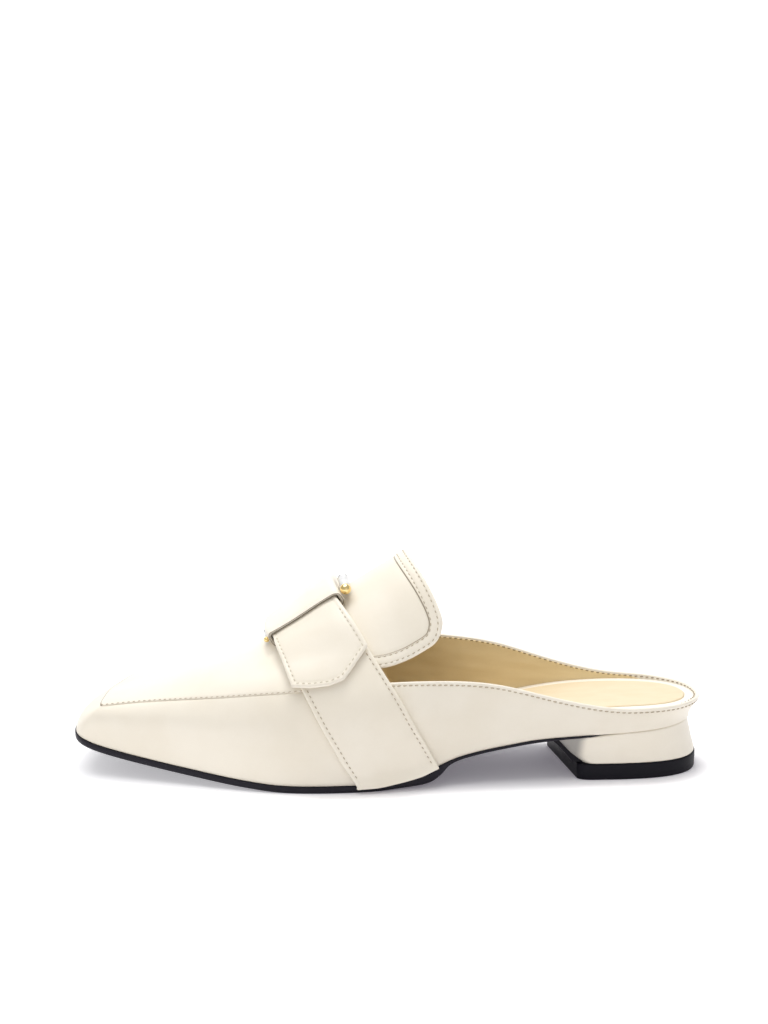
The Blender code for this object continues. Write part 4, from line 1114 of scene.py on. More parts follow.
# %% Strap, inner half with its tab
share = np.sort(np.append(edge_steps(STRAP_WIDE, 20), TAB_POINT))[None, :]
tab_along = 1.0 - np.cos(np.linspace(0.0, 0.5 * math.pi, 44))[:-1, None]
tab_row, tab_way = tab_place(share, tab_along)
way = np.concatenate([np.arange(TAB_START, 0.37, 0.015), np.linspace(0.39, 1.0, 50)])
way = way[:, None] + 0.0 * share
row = np.concatenate([tab_row, band_row(STRAP, way, share)])
along = np.concatenate([tab_along, np.ones((len(way), 1))])
way = np.concatenate([tab_way, way])
base = across(row, way)
inside = distance_to(np.concatenate([base[::-1, 0], base[0, 1:], base[1:, -1]]), base)
strap_half("strap_inner_half", row, way, inner_lift(way, along), inside, share, "strap_inner")


# %% Strap stitches
def strap_stitches(name, start, end, from_back):
    """A row along one edge of the strap, from one place across the foot to another."""
    at = np.linspace(start, end, 200)
    place = STRAP_STITCH / strap_width(at)
    line = band_row(STRAP, at, place if from_back else 1.0 - place)
    spot = off_form(line, at, strap_lift(at) + STRAP_THICK - THREAD_SUNK)
    stitch_row(name, spot, unit(spot - across(line, at)))


for label, from_back in (("back", True), ("front", False)):
    strap_stitches("stitches_strap_outer_" + label, -0.30, -0.985, from_back)
    strap_stitches("stitches_strap_inner_" + label, 0.31, 0.985, from_back)
print(ROWS_MADE[-4:])


# %% Tab stitches
def tab_spot(share, along):
    """Surface of the tab, and the form beneath it."""
    line, at = tab_place(share, along)
    return off_form(line, at, inner_lift(at, along) + STRAP_THICK - THREAD_SUNK), across(line, at)


def along_for(share, distance):
    """How far along the tab each share lies at that distance from its end edge."""
    end_line, _ = tab_spot(np.linspace(0.0, 1.0, 120), np.zeros(120))
    trial = np.linspace(0.0, 0.45, 60)
    spot, _ = tab_spot(share[:, None] + 0.0 * trial, trial[None, :] + 0.0 * share[:, None])
    away = distance_to(end_line, spot)
    return np.array([np.interp(distance, gone, trial) for gone in away])


side, side_steps = TAB_STITCH / TAB_WIDE, 60
end_share = np.concatenate([np.linspace(side, TAB_POINT, 30),
                            np.linspace(TAB_POINT, 1.0 - side, 30)[1:]])
depth = along_for(end_share, TAB_STITCH)
share = np.pad(end_share, side_steps - 1, mode="edge")
along = np.concatenate([np.linspace(1.0, depth[0], side_steps)[:-1], depth,
                        np.linspace(depth[-1], 1.0, side_steps)[1:]])
spot, beneath = tab_spot(share, along)
stitch_row("stitches_tab", spot, unit(spot - beneath), pale_thread)
print(ROWS_MADE[-1])

# %% [markdown]
# ## The keeper
# A leather loop goes round both layers of the strap at the top of the instep. Its cut edges are
# stained and show as a dark line. It is a closed grid both ways: once round the loop, and once
# round the strip's own section.

# %% Keeper
# Place across the foot, then the sections of its back and of its front edge.
KEEPER = np.array((
    (-0.25, 8.03, 9.97),
    (-0.15, 8.085, 9.95),
    (0.00, 8.18, 9.93),
    (0.20, 8.27, 9.95),
)).T
KEEPER_OUTER_WAY, KEEPER_INNER_WAY = (-0.148, -0.186), 0.090   # its cut edges' places across the foot
KEEPER_HEIGHT = 2.0 * KEEPER_THICK + 2.0 * STRAP_THICK + 3.0 * GAP


def keeper_profile(inset):
    """The loop's section, a rounded rectangle moved in by inset: share of its length, and height."""
    flat = np.linspace(KEEPER_CORNER, KEEPER_LENGTH - KEEPER_CORNER, 22)
    turn = np.radians(np.linspace(0.0, 90.0, 12))
    lengths, heights = [], []
    for centre, base, first, run, level in (
            (flat[-1], KEEPER_CORNER, -90.0, flat[:0], 0.0),
            (flat[-1], KEEPER_HEIGHT - KEEPER_CORNER, 0.0, flat[-2:0:-1], KEEPER_HEIGHT - inset),
            (flat[0], KEEPER_HEIGHT - KEEPER_CORNER, 90.0, flat[:0], 0.0),
            (flat[0], KEEPER_CORNER, 180.0, flat[1:-1], inset)):
        angle = turn + math.radians(first)
        lengths += [centre + (KEEPER_CORNER - inset) * np.cos(angle), run]
        heights += [base + (KEEPER_CORNER - inset) * np.sin(angle), np.full(len(run), level)]
    return np.concatenate(lengths) / KEEPER_LENGTH, np.concatenate(heights) + GAP


def keeper_skin(inset, inwards):
    """Points at an inset from the loop's outside, and so far in from its outer cut edge, 0 to 1."""
    share, height = keeper_profile(inset)
    way = part_way(part_way(*KEEPER_OUTER_WAY, share), KEEPER_INNER_WAY, inwards)
    return off_form(band_row(KEEPER, way, share), way, height)


KEEPER_WIDE, KEEPER_EDGE = 0.0165, 0.00035
edge_in = [(KEEPER_EDGE * (1.0 - math.cos(a)), KEEPER_EDGE * (1.0 - math.sin(a)) / KEEPER_WIDE)
           for a in np.radians(np.linspace(0.0, 90.0, 5))]
flat_places = np.linspace(edge_in[-1][1], 1.0 - edge_in[-1][1], 18)[1:-1]
top_side = edge_in + [(0.0, inwards) for inwards in flat_places]
top_side += [(inset, 1.0 - inwards) for inset, inwards in edge_in[::-1]]
ring = top_side + [(KEEPER_THICK - inset, inwards) for inset, inwards in top_side[::-1]]
keeper_points = np.stack([keeper_skin(inset, inwards) for inset, inwards in ring], 1)
cut = np.array([0.0002 < inset < KEEPER_THICK - 0.0002 for inset, _ in ring])
keeper = grid_piece("keeper_loop", keeper_points, keeper_leather, "cream_leather", wrap_rows=True,
                    wrap_columns=True, marks={"cut": np.broadcast_to(cut, keeper_points.shape[:2])})
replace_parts(face_outwards(keeper), "keeper")
print("keeper grid:", keeper_points.shape[:2])

# %% [markdown]
# ## The bars
# Two turned bars lie along the keeper's front and back turn, and the ball on each one's outer end
# is gold. A profile turned about the bar's own line makes bar and balls in one closed piece, and
# its two finishes meet at that ball's neck.

# %% Bars
# Start, end, the ball's radius and the rod's.
BARS = {
    "bar_front": ((-0.0504, -0.0085, 0.0562), (-0.0526, 0.0080, 0.0556), 0.0012, 0.0008),
    "bar_rear": ((-0.0168, -0.0120, 0.0782), (-0.0192, 0.0060, 0.0789), 0.0023, 0.0021),
}
NECK = 0.72             # a neck's radius, as a share of the rod's
BAR_SIDES = 40


def bar_profile(length, ball, rod):
    """Distance along the bar and radius: a ball, a short neck, the rod, a neck and a ball."""
    turn = np.radians(np.linspace(2.0, 180.0 - math.degrees(math.asin(NECK * rod / ball)), 26))
    meet = math.sqrt(ball ** 2 - (NECK * rod) ** 2)
    first = [(-ball * math.cos(a), ball * math.sin(a)) for a in turn]
    half = first + [(meet + 0.00012, NECK * rod), (meet + 0.00024, rod * 0.96), (meet + 0.0004, rod)]
    return half + [(length - along, radius) for along, radius in half[::-1]], len(first)


for name, (start, end, ball, rod) in BARS.items():
    start, end = np.array(start), np.array(end)
    profile, ball_rings = bar_profile(np.linalg.norm(end - start), ball, rod)
    along = unit(end - start)
    side = unit(np.cross(along, (0.0, 0.0, 1.0)))
    up = np.cross(side, along)
    angle = np.arange(BAR_SIDES) * 2.0 * math.pi / BAR_SIDES
    circle = np.cos(angle)[:, None] * side + np.sin(angle)[:, None] * up
    rings = np.array([start + along * place + radius * circle for place, radius in profile])
    index = np.arange(len(profile) * BAR_SIDES).reshape(-1, BAR_SIDES)
    faces = quads(index, wrap_columns=True)
    tops = np.array([[ring[0], ring[a], ring[a + 1], ring[a + 1]]
                     for ring in (index[0], index[-1]) for a in range(1, BAR_SIDES - 1)])
    slots = np.concatenate([np.repeat(np.arange(len(profile) - 1) >= ball_rings, BAR_SIDES),
                            np.repeat((0, 1), BAR_SIDES - 2)])
    bar = piece(name + "_turned", rings, np.concatenate([faces, tops]), [gold, silver], "gold_metal",
                slots=slots)
    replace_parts(face_outwards(bar), name)
print("bars turned:", ", ".join(BARS))


# %% [markdown]
# ## The tongue
# The tongue is an arch of lined leather that stands up behind the strap. A separate border strip is
# folded over its edge and held by two rows of stitches. The sheet itself is one grid. The border
# follows the tongue's edge instead of the grid, so its lines are walked inwards over the surface
# step by step, each step settled back onto the sheet.

# %% Tongue surface
TONGUE_COLUMNS = ("row", "ridge_x", "ridge_y", "ridge_z", "outer_x", "outer_y", "outer_z",
                  "inner_x", "inner_y", "inner_z")
TONGUE = (
    (8.96, -0.0333, 0.0050, 0.0660, -0.0142, -0.0345, 0.0470, -0.0200, 0.0325, 0.0498),
    (8.00, -0.0170, 0.0046, 0.0768, -0.0004, -0.0318, 0.0519, -0.0068, 0.0305, 0.0535),
    (7.63, -0.0070, 0.0043, 0.0828, 0.0090, -0.0297, 0.0530, 0.0022, 0.0297, 0.0546),
    (7.33, 0.0010, 0.0041, 0.0876, 0.0172, -0.0285, 0.0574, 0.0095, 0.0290, 0.0588),
    (7.16, 0.0055, 0.0040, 0.0902, 0.0217, -0.0272, 0.0622, 0.0137, 0.0282, 0.0635),
    (7.08, 0.0075, 0.0040, 0.0914, 0.0226, -0.0262, 0.0676, 0.0146, 0.0272, 0.0688),
)
TONGUE_AT = {name: np.array([row[k] for row in TONGUE])[::-1] for k, name in enumerate(TONGUE_COLUMNS)}
TONGUE_LOW, TONGUE_HIGH = TONGUE[0][0], TONGUE[-1][0]
TONGUE_FREE = (0.02, 0.40)          # over these sections behind the strap it lifts off the foot
RIDGE_SLOPE = np.array((0.82, 0.0, 0.57))


def tongue(row, share):
    """The outer face: an arch from its outer edge, share -1, over the ridge to its inner edge, 1."""
    row, share = np.broadcast_arrays(np.asarray(row, float), np.asarray(share, float))

    def spine(side):
        return points(*(open_spline(TONGUE_AT["row"], TONGUE_AT[side + way], row)
                        for way in ("_x", "_y", "_z")))

    top = spine("ridge")
    arches = []
    for side, sign in (("outer", -1.0), ("inner", 1.0)):
        low = spine(side)
        reach = np.linalg.norm(top - low, axis=-1, keepdims=True)
        up = unit(unit(top - low) + (0.0, 0.35 * sign, 0.35))
        t = np.clip(1.0 - sign * share, 0.0, 1.0)[..., None]
        arch = bezier(low, low + 0.34 * reach * up, top + (0.0, 0.42 * sign, 0.0) * reach, top, t)
        arches.append(arch - 4.0 * t * (1.0 - t) * sign * TONGUE_SKEW * RIDGE_SLOPE)
    free = np.where(share[..., None] < 0.0, arches[0], arches[1])
    under = off_form(row, TONGUE_HALF * share, -0.0001)
    return part_way(under, free, blend(8.0 - row, *TONGUE_FREE)[..., None])


rows = part_way(TONGUE_HIGH, TONGUE_LOW, np.linspace(0.0, 1.0, 130) ** 1.25)
share = np.linspace(-1.0, 1.0, 150)
share = np.sin(share * math.pi / 2.0) * 0.35 + share * 0.65
face = tongue(rows[:, None], share[None, :])
outwards = grid_normals(face)
outwards *= np.sign(outwards[..., 2].mean())
print("tongue face:", face.shape[:2])

# %% Walk in from the tongue's edge
EDGE_STEP, EDGE_STEPS, EDGE_POINTS = 0.00030, 21, 420
BORDER_REACH = 0.009    # only the face this near its edge is walked over


def even_path(path, count):
    """The same path with count points at even steps."""
    reach = path_reach(path)
    return read_path(path, reach, np.linspace(0.0, reach[-1], count))


def smooth_path(path, passes):
    """Each point moved to the mean of itself and its neighbours, passes times. The ends stay."""
    for _ in range(passes):
        path = np.concatenate([path[:1], (path[:-2] + 2.0 * path[1:-1] + path[2:]) / 4.0, path[-1:]])
    return path


def settle(spots, cloud, normals):
    """Each spot moved onto the plane through the cloud's nearest point. Returns spots and normals."""
    apart = (spots ** 2).sum(-1)[:, None] + (cloud ** 2).sum(-1)[None] - 2.0 * spots @ cloud.T
    nearest = np.argmin(apart, 1)
    there, facing = cloud[nearest], normals[nearest]
    return spots - ((spots - there) * facing).sum(-1, keepdims=True) * facing, facing


side_rows = np.linspace(8.8, TONGUE_HIGH, 160)
over_top = tongue(TONGUE_HIGH, np.linspace(-1.0, 1.0, 240))[1:-1]
outline = np.concatenate([tongue(side_rows, -1.0), over_top, tongue(side_rows[::-1], 1.0)])
outline = smooth_path(even_path(smooth_path(outline, 10), EDGE_POINTS), 30)
cloud, cloud_normals = (grid[1:-1, 1:-1].reshape(-1, 3) for grid in (face, outwards))
near = distance_to(outline[::4], cloud) < BORDER_REACH
cloud, cloud_normals = cloud[near], cloud_normals[near]
lines, facings = [outline], []
for step in range(EDGE_STEPS):
    _, facing = settle(lines[-1], cloud, cloud_normals)
    facing = unit(smooth_path(facing, 6))
    facings.append(facing)
    inwards = unit(np.cross(unit(np.gradient(lines[-1], axis=0)), facing))
    inwards *= -np.sign(inwards[EDGE_POINTS // 2, 0])
    moved, _ = settle(lines[-1] + inwards * EDGE_STEP, cloud, cloud_normals)
    lines.append(smooth_path(moved, 2))
facings.append(facings[-1])
lines, facings = np.stack(lines), np.stack(facings)
print("border walked in, m:", float(EDGE_STEP * EDGE_STEPS))


# %% Tongue sheet and border
def border_spot(inwards, height):
    """A line so far in from the edge over the face, and so high off it. Negative is outside."""
    inwards = np.broadcast_to(inwards, EDGE_POINTS)
    at = np.clip(inwards / EDGE_STEP, 0.0, EDGE_STEPS)
    first = np.minimum(at.astype(int), EDGE_STEPS - 1)
    part, here = (at - first)[:, None], np.arange(EDGE_POINTS)
    spot = part_way(lines[first, here], lines[first + 1, here], part)
    facing = unit(part_way(facings[first, here], facings[first + 1, here], part))
    out = unit(lines[0] - lines[2])
    return spot + out * np.maximum(-inwards, 0.0)[:, None] + facing * height, facing


BORDER_THICK, BORDER_WIDE, BORDER_MORE = 0.00034, 0.0046, 0.0011    # it is wider over the top
OUTER_STITCH, INNER_STITCH = 0.00125, 0.0042
corner = int(np.argmin(np.linalg.norm(outline - tongue(TONGUE_HIGH, -1.0), axis=-1)))
from_end = np.minimum(np.arange(EDGE_POINTS), EDGE_POINTS - 1 - np.arange(EDGE_POINTS))
from_corner = (from_end - corner) / (EDGE_POINTS / 2.0 - 1.0 - corner)
border_wide = BORDER_WIDE + BORDER_MORE * blend(from_corner, 0.0, 1.0)
inside = distance_to(outline, face)
soft = blend(inside, 0.0060, 0.0200)
lift = drawn(face, 0.012, 0.00010) * soft - 0.00012 * blend(inside, 0.0070, 0.0045)
tuck = 0.0009 * (1.0 - blend(inside, 0.0, 0.0014))
tongue_low = face - outwards * (TONGUE_THICK - tuck)[..., None]
tongue_high = face + outwards * (lift - tuck * 0.9)[..., None]
heart = face[40, face.shape[1] // 2]
centre_in = unit(heart - face) * (0.0006 * (1.0 - blend(inside, 0.0, 0.0010)))[..., None]
tongue_sheet = sheet_piece("tongue_leather", tongue_low + centre_in, tongue_high + centre_in, cream,
                           "cream_leather")
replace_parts(tongue_sheet, "tongue")
print("tongue sheet:", face.shape[:2])

# %% [markdown]
# The border's section is listed as pairs: how far in from the edge, and how high off the tongue's
# face. It starts inside the shoe, rolls over the edge, dips at both rows of stitches and ends in a
# small step down.

# %% Border and its stitches
back = -TONGUE_THICK - 0.00012
middle, half = (BORDER_THICK + back) / 2.0, (BORDER_THICK - back) / 2.0
turn = np.radians(np.linspace(-80.0, 80.0, 11))
section = [(0.0040, back + 0.0002), (0.0039, back), (0.0020, back), (0.0009, back)]
section += [(0.0006 - 0.0007 * math.cos(a), middle + half * math.sin(a)) for a in turn]
for stitch in (OUTER_STITCH, INNER_STITCH):
    section += [(stitch + away, BORDER_THICK - 0.00014 * channel(away, 0.0, 0.00018))
                for away in (-0.00035, -0.00015, 0.0, 0.00015, 0.00035)]
section.insert(-5, (0.0027, BORDER_THICK + 0.00006))
section += [(border_wide + more, height) for more, height in (
    (-0.00025, BORDER_THICK - 0.00002), (-0.00010, BORDER_THICK - 0.00006),
    (-0.00002, BORDER_THICK - 0.00014), (0.00004, 0.00012), (0.00042, 0.00008), (0.00046, -0.00020))]
border_points = np.stack([border_spot(inwards, height)[0] for inwards, height in section], 1)
worn = np.array([np.all(inwards < 0.0006) for inwards, _ in section])
# Painted shade: the border's last points, where it steps down onto the tongue, carry a dark line of
# shade.
painted_seam_shade = np.arange(len(section)) >= len(section) - 4
marks = {"worn": np.broadcast_to(worn, border_points.shape[:2]),
         "painted_seam_shade": np.broadcast_to(painted_seam_shade, border_points.shape[:2])}
border = grid_piece("tongue_border", border_points, cream, "cream_leather", wrap_columns=True,
                    marks=marks)
face_outwards(border)
for name, inwards in (("stitches_tongue_outer", OUTER_STITCH), ("stitches_tongue_inner", INNER_STITCH)):
    stitch_row(name, *border_spot(inwards, BORDER_THICK - 0.00010))
print("border:", border_points.shape[:2], ROWS_MADE[-2:])

# %% [markdown]
# ## Footbed, sole and heel
# The footbed is a cream-covered board that shows as a pale rim round the tan sock. The sole below
# is a thin black edge. All three share the sole's outline, so one function makes plates from
# layers: an inset and a height for each, joined to the sole's middle line above and below.

# %% Plates
PLATE_POINTS = 720


def plate_piece(name, layers, shares, finish, slot, toe_inset=0.0):
    """A closed plate from (inset, height) layers, filled in to the middle line below and above."""
    row = signed(np.arange(PLATE_POINTS) * (2.0 * LAST_ROW / PLATE_POINTS))
    toe = toe_inset * blend(np.abs(row), 13.5, 17.0)
    plans = [(layers[0], share) for share in (1.0, *reversed(shares))]
    plans += [(layer, 0.0) for layer in layers] + [(layers[-1], share) for share in (*shares, 1.0)]
    rings = []
    for (inset, height), share in plans:
        plan = part_way(foot(row, inset(row) + toe), axis(np.abs(row)), share)
        rings.append(points(plan[:, 0], plan[:, 1], height(plan[:, 0])))
    worn = np.repeat([share == 0.0 for _, share in plans], PLATE_POINTS)
    index = np.arange(len(rings) * PLATE_POINTS).reshape(len(rings), PLATE_POINTS)
    twin = np.minimum(index[0], (PLATE_POINTS - index[0]) % PLATE_POINTS)
    index[0], index[-1] = index[0][twin], index[-1][twin]
    faces = quads(index, wrap_columns=True)
    return face_outwards(piece(name, np.array(rings), faces, finish, slot, {"worn": worn}, sharp=50))


def sole_bottom(x):
    """Height of the sole's tread."""
    return level_curve(SOLE_X, SOLE_BOTTOM, x)


def sole_top(x):
    """Height of the sole's upper face, a gap below the upper."""
    return level_curve(SOLE_X, SOLE_TOP, x) - GAP


print("sole edge at the toe, m:", float(sole_top(-0.12) - sole_bottom(-0.12)))


# %% Footbed and sock
def reaching(inset, share):
    """An inset that shrinks round the heel by a share of BED_OUT, since the upper leans out there."""
    return lambda row: inset - share * open_spline(BED_ROW, BED_OUT, np.abs(row))


SOCK_REACH = 1.0 + HEEL_RIM_LESS / BED_OUT[0]
BARE_RIM = INSOLE_INSET + SOCK_INSET
RIM_UP, SOCK_UP = 0.0004, 0.0007    # how far the rim and the sock stand above the board


def rim_top(x):
    """Height of the footbed's pale rim."""
    return bed_top(x) + RIM_UP


def board_layers(inset, radius=0.0009):
    """The board's side and rolled upper edge, then the rim's inner edge and the sock's bed."""
    rolled = [(reaching(inset + radius * (1.0 - math.cos(a)), 1.12),
               lambda x, a=a: rim_top(x) - radius * (1.0 - math.sin(a)))
              for a in np.radians((0.0, 22.0, 45.0, 67.0, 90.0))]
    bed = [(reaching(BARE_RIM + more, SOCK_REACH), lambda x, down=down: rim_top(x) - down)
           for more, down in ((-0.0004, 0.0), (-0.0001, 0.00006), (0.0001, 0.0002),
                              (0.0002, RIM_UP + 0.0002))]
    return [(reaching(inset + 0.0006, 0.0), lambda x: sole_top(x) + GAP),
            (reaching(inset, 0.2), lambda x: 0.6 * sole_top(x) + 0.4 * bed_top(x))] + rolled + bed


board = plate_piece("footbed_board", board_layers(INSOLE_INSET - 0.0008), (0.08, 0.25, 0.5), rim_cream,
                    "cream_leather", TOE_INSET)
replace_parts(board, "insole")
sock_layers = [(reaching(BARE_RIM + more, SOCK_REACH), lambda x, up=up: bed_top(x) + up)
               for more, up in ((0.0003, -0.00015), (0.0003, 0.0003), (0.0005, SOCK_UP - 0.00008),
                                (0.0008, SOCK_UP))]
sock = plate_piece("footbed_sock", sock_layers, (0.06, 0.15, 0.3, 0.5, 0.75), sock_tan, "tan_leather",
                   TOE_INSET)
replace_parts(sock, "sock")
print("footbed made")

# %% Sole
SOLE_ROUND = 0.0007


def sole_inset(more):
    """Behind the heel's front the sole's edge runs in beneath the seat, out of sight."""
    return lambda row: more + 0.006 * blend(foot(row)[:, 0], SOLE_END_X - 0.006, SOLE_END_X + 0.008)


def sole_level(share):
    """A height between the sole's tread and its upper face."""
    return lambda x: sole_bottom(x) + share * (sole_top(x) - sole_bottom(x))


sole_layers = [(sole_inset(SOLE_ROUND * (1.0 - math.sin(a))), sole_level(0.34 * (1.0 - math.cos(a))))
               for a in np.radians((0.0, 30.0, 60.0, 90.0))]
sole_layers += [(sole_inset(more), sole_level(share))
                for more, share in ((0.0, 0.8), (0.0001, 0.95), (0.0004, 1.0))]
outsole = plate_piece("sole_leather", sole_layers, (0.3,), sole_black, "sole_black")
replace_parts(outsole, "outsole")
print("sole:", outsole.name)

# %% Heel tables
# Height, then the x of the flap's front and of its back.
FLAP_Z, FLAP_FRONT, FLAP_BACK = np.array((
    (0.0184, 0.0630, 0.0690),
    (0.0170, 0.0668, 0.0697),
    (0.0145, 0.0698, 0.0720),
    (0.0110, 0.0730, 0.0752),
    (0.0088, 0.0748, 0.0780),
    (0.0071, 0.0760, 0.0804),
)).T
# A row for each of those heights: how far the heel lies inside the sole's outline at sections 0 to 6.
HEEL_ROW = np.arange(7.0)
HEEL_INSETS = np.array((
    (0.0010, 0.0010, 0.0010, 0.0008, 0.0008, 0.0014, 0.0016),
    (0.0010, 0.0010, 0.0010, 0.0009, 0.0012, 0.0020, 0.0024),
    (0.0003, 0.0004, 0.0008, 0.0012, 0.0018, 0.0028, 0.0032),
    (-0.0008, -0.0005, 0.0006, 0.0018, 0.0027, 0.0036, 0.0040),
    (-0.0017, -0.0012, 0.0004, 0.0021, 0.0030, 0.0038, 0.0042),
    (-0.0023, -0.0017, 0.0003, 0.0023, 0.0030, 0.0036, 0.0040),
))
# How long and how deep its rounded front corners are, at the same heights.
CORNER_LENGTH = (0.0070, 0.0080, 0.0085, 0.0075, 0.0062, 0.0055)
CORNER_DEPTH = (0.0026, 0.0036, 0.0042, 0.0036, 0.0032, 0.0030)
HEEL_POINTS = 90


def flap_at(z, values):
    """One of the flap's columns at a height."""
    return np.interp(-z, -FLAP_Z, values)


def heel_inset(z, row, more=0.0):
    """How far the heel's side lies inside the sole's outline at a height and a section."""
    levels = np.array([open_spline(HEEL_ROW, insets, row) for insets in HEEL_INSETS])
    at = np.interp(-z, -FLAP_Z, np.arange(len(FLAP_Z)))
    return np.array([open_spline(np.arange(len(levels)), column, at) for column in levels.T]) + more


def heel_ring(height, z, front_x, more=0.0):
    """One level of the heel, from its outer front corner round the back to its inner front corner."""
    dense = np.linspace(0.0, HEEL_ROW[-1], 601)
    length, depth = flap_at(z, CORNER_LENGTH), flap_at(z, CORNER_DEPTH)
    sides = []
    for sign in (1.0, -1.0):
        plan = foot(sign * dense, heel_inset(z, dense, more) + depth)
        front = front_x(height(plan[:, 0])) - BREAST_SLANT * (plan[:, 1] - BREAST_Y)
        last = np.interp(0.0, front - plan[:, 0], dense)
        picked = (1.0 - np.linspace(1.0, 0.0, HEEL_POINTS) ** 1.6) * last
        inset = heel_inset(z, picked, more)
        along = foot(sign * picked, inset)[:, 0]
        corner = depth * (1.0 - rounded(along - along[-1], length))
        sides.append(foot(sign * picked, inset + corner))
    ring = np.concatenate([sides[0][::-1], sides[1][1:]])
    return points(ring[:, 0], ring[:, 1], height(ring[:, 0]))


def stack_piece(name, rings, finish, slot, tucked_and_painted_shade=0.0):
    """A closed solid from rings that run from one front corner round the back to the other."""
    count = len(rings[0])
    index = np.arange(len(rings) * count).reshape(len(rings), count)
    k = np.arange(count // 2)
    caps = [np.stack([ring[k], ring[k + 1], ring[count - 2 - k], ring[count - 1 - k]], -1)
            for ring in (index[0], index[-1])]
    faces = np.concatenate([quads(index, wrap_columns=True), *caps])
    marks = {"tucked_and_painted_shade": np.broadcast_to(tucked_and_painted_shade, index.shape)}
    return face_outwards(piece(name, np.array(rings), faces, finish, slot, marks, sharp=45))


print("heel tables ready")


# %% Heel
def heel_top(x):
    """The seat: under the sole as far as it goes, then under the upper."""
    behind = blend(x, SOLE_END_X - 0.002, SOLE_END_X + 0.010)
    return sole_bottom(x) - 0.0001 + behind * (sole_top(x) + 0.0001 - sole_bottom(x))


low = LIFT_THICK + 0.0001
seat = float(heel_top(FLAP_BACK[1]))
# Share of the way down, and inset.
HEEL_STEPS = ((0.0, 0.0008), (0.012, 0.00025), (0.035, 0.0),
              *((share, 0.0) for share in np.linspace(0.08, 0.96, 24)), (0.985, 0.00008), (1.0, 0.0003))
rings = np.array([heel_ring(lambda x, share=share: part_way(heel_top(x), low, share),
                            part_way(seat, low, share),
                            lambda height: flap_at(height, FLAP_BACK) + 0.0001, more)
                  for share, more in HEEL_STEPS])
x, y, z = np.moveaxis(rings, -1, 0)
# Painted shade: the heel cover darkens towards its front corner, most high up, where it turns in under
# the seat and the shade of the waist falls.
behind_front = x - flap_at(z, FLAP_BACK) + BREAST_SLANT * (y - BREAST_Y)
high_up = (z - low) / (seat - low)
tucked_and_painted_shade = 0.95 * (1.0 - blend(behind_front - 0.0105 * high_up, -0.0028, 0.0018))
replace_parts(stack_piece("heel_cover", rings, cream, "cream_leather", tucked_and_painted_shade), "heel")
print("heel's height over its lift, m:", round(seat - low, 4))

# %% Top lift
# Height, and inset.
LIFT_STEPS = ((0.0, 0.0005), (0.0002, 0.00015), (0.0006, 0.0), (0.0030, 0.0), (0.0062, 0.0),
              (0.0066, 0.0001), (LIFT_THICK, 0.0004))
rings = [heel_ring(lambda x, z=z: np.full_like(x, z), FLAP_Z[-1],
                   lambda height, more=more: np.full_like(height, LIFT_FRONT + more), more - 0.0004)
         for z, more in LIFT_STEPS]
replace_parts(stack_piece("top_lift_rubber", rings, lift_black, "sole_black"), "top_lift")
print("top lift's levels:", len(rings))

# %% Breast flap
z = np.interp(np.linspace(0, 5, 26), np.arange(6), FLAP_Z)[:, None]
half_width = np.interp(-z, (-0.0184, -0.0150, -0.0110, -0.0071), (0.0212, 0.0208, 0.0212, 0.0218))
y = half_width * np.linspace(-1.0, 1.0, 21)[None, :]
slant = -BREAST_SLANT * (y - BREAST_Y)
skins = []
for values in (FLAP_FRONT, FLAP_BACK):
    x = flap_at(z, values) + slant
    within = (sole_bottom(x) + sole_top(x)) / 2.0
    skins.append(points(x, y, np.minimum(z, within)))
sheet_piece("breast_flap", *skins, sole_black, "sole_black", sharp=45)
print("flap's width, m:", float(2.0 * half_width[0, 0]))


# %% [markdown]
# ## Floor, light and camera
# A shoe like this is shown on a white acrylic table that curves up behind, so there is no horizon.
# The table's material glows by itself: a little everywhere, more under the toe, where this glow is
# painted light that thins the shoe's shadow, and most at the wall. A bright even sky fills the
# sides, a wide soft box overhead whitens the top, a smaller one behind it gives the tab and the
# keeper their soft shadows, and a weak one low in front lights the heel.

# %% Sweep
SWEEP_WIDE, SWEEP_NEAR, SWEEP_FAR, SWEEP_RISE, SWEEP_TOP = 4.0, -3.0, 1.6, 1.2, 3.0


def sweep_points():
    """Level floor, a quarter turn, then a wall: a profile in y and z, carried along x."""
    turn = np.radians(np.linspace(0.0, 90.0, 24))
    floor = np.linspace(SWEEP_NEAR, SWEEP_FAR, 20)[:-1]
    y = np.concatenate([floor, SWEEP_FAR + SWEEP_RISE * np.sin(turn), [SWEEP_FAR + SWEEP_RISE]])
    z = np.concatenate([0.0 * floor, SWEEP_RISE * (1.0 - np.cos(turn)), [SWEEP_TOP]])
    x = np.linspace(-SWEEP_WIDE, SWEEP_WIDE, 9)
    return points(x[:, None], y[None, :], z[None, :])


acrylic = Finish("acrylic_with_painted_light", Roughness=0.85, Emission_Strength=1.0)
mottle = acrylic.noise(3.0, 2.0)
table_x, table_y = (acrylic.node("ShaderNodeSeparateXYZ", None, acrylic.place(), out=k) for k in (0, 1))
from_toe_x, from_toe_y = table_x * 11.0 + 1.2, table_y * 18.0 + 0.45    # an oval round the toe
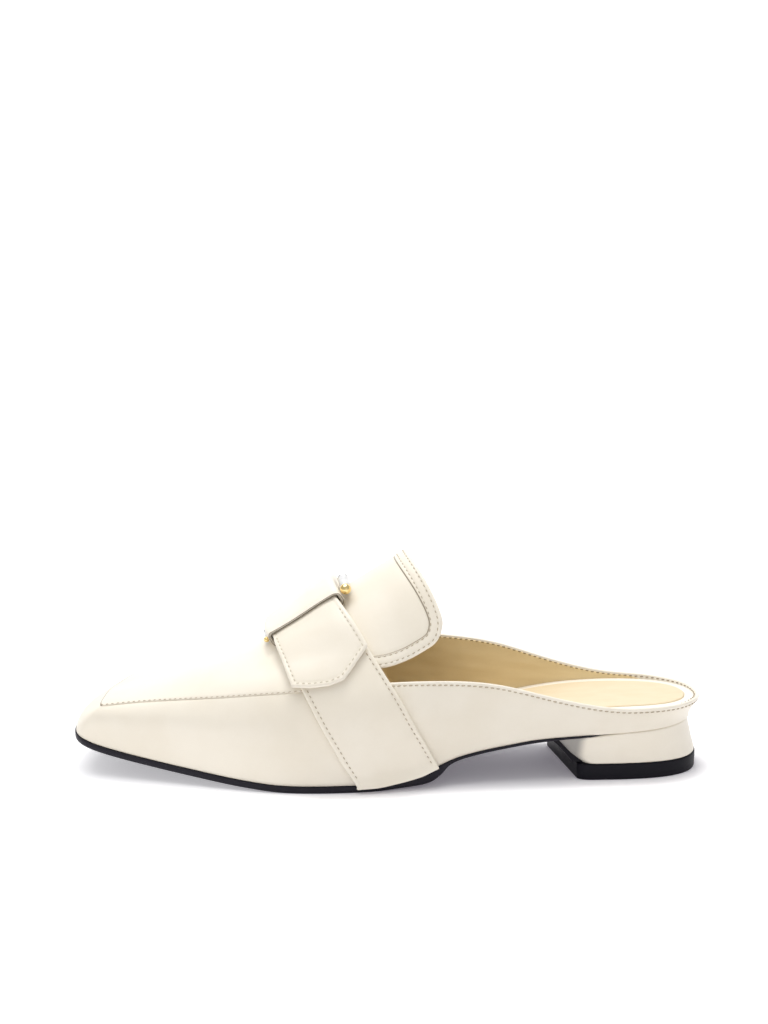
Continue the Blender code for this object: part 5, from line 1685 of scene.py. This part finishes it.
# Painted light: an oval pool of glow under the toe that thins the shoe's shadow there.
toe_painted_light = (from_toe_x * from_toe_x + from_toe_y * from_toe_y).between(1.3, 0.2) * 0.55
toe_painted_light_and_wall_glow = toe_painted_light + table_y.between(0.15, 0.60)
acrylic_white = acrylic.into(
    Base_Color=acrylic.tint(mottle * 0.3, (0.90, 0.90, 0.90), (0.88, 0.88, 0.885)),
    Emission_Color=acrylic.tint(toe_painted_light_and_wall_glow, (0.14, 0.13, 0.15), (0.60, 0.60, 0.61)))
grid = sweep_points()
faces = quads(np.arange(grid[..., 0].size).reshape(grid.shape[:2]))
mesh = bpy.data.meshes.new("sweep")
mesh.from_pydata(grid.reshape(-1, 3).tolist(), [], faces.tolist())
mesh.shade_smooth()
mesh.materials.append(acrylic_white)
sweep = bpy.data.objects.new("sweep", mesh)
bpy.context.scene.collection.objects.link(sweep)
print("sweep:", grid.shape[:2])

# %% Light
world = bpy.data.worlds.new("studio")
bpy.context.scene.world = world
world.use_nodes = True
sky = world.node_tree.nodes["Background"].inputs
sky["Color"].default_value = (1.0, 1.0, 1.0, 1.0)
sky["Strength"].default_value = 0.530


def soft_box(name, place, target, width, height, power):
    """An area lamp that faces its target."""
    lamp = bpy.data.lights.new(name, "AREA")
    lamp.shape, lamp.size, lamp.size_y, lamp.energy = "RECTANGLE", width, height, power
    made = bpy.data.objects.new(name, lamp)
    made.location = place
    x, y, z = np.array(target) - np.array(place)
    made.rotation_euler = (math.atan2(math.hypot(x, y), -z), 0.0, math.atan2(y, x) - math.pi / 2.0)
    bpy.context.scene.collection.objects.link(made)


soft_box("overhead", (-0.22, -0.02, 1.15), (0.0, 0.0, 0.03), 1.1, 0.9, 7.5)
soft_box("overhead_small", (0.02, 0.16, 1.15), (0.0, 0.0, 0.03), 0.30, 0.22, 4.5)
soft_box("front_right", (0.45, -1.15, 0.30), (0.04, 0.0, 0.03), 0.8, 0.5, 0.40)

# %% Camera
TURN, DOWNWARDS, ROLL_ANGLE = (math.radians(angle) for angle in (2.6, 16.2, -0.8))
DISTANCE, SENSOR = 0.620, 36.0      # metres, and millimetres
LENS, SHIFT_ACROSS, SHIFT_UP = 51.27, -0.00527, 0.17773
FOCUS_ON = np.array((0.0, 0.0, 0.030)) + CENTRE
right = np.array((math.cos(TURN), math.sin(TURN), 0.0))
level = np.array((-math.sin(TURN), math.cos(TURN), 0.0))
ahead = math.cos(DOWNWARDS) * level - math.sin(DOWNWARDS) * np.array((0.0, 0.0, 1.0))
up = np.cross(right, ahead)
right, up = (math.cos(ROLL_ANGLE) * right + math.sin(ROLL_ANGLE) * up,
             math.cos(ROLL_ANGLE) * up - math.sin(ROLL_ANGLE) * right)
lens = bpy.data.cameras.new("camera")
lens.sensor_fit, lens.sensor_width, lens.sensor_height = "VERTICAL", SENSOR, SENSOR
lens.lens, lens.shift_x, lens.shift_y = LENS, SHIFT_ACROSS, SHIFT_UP
lens.clip_start, lens.clip_end = 0.01, 20.0
camera = bpy.data.objects.new("camera", lens)
bpy.context.scene.collection.objects.link(camera)
spot = FOCUS_ON - ahead * DISTANCE
matrix = np.eye(4)
matrix[:3] = np.stack([right, up, -ahead, spot], -1)
camera.matrix_world = Matrix(matrix.tolist())
bpy.context.scene.camera = camera
bpy.context.scene.view_settings.view_transform = "Standard"
print("camera at", spot.round(3).tolist())

# %% Sizes and the end
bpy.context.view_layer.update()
shown = [item for item in bpy.data.objects if item.type == "MESH" and not item.hide_render]
print("triangles:", sum(len(face.vertices) - 2 for item in shown for face in item.data.polygons))
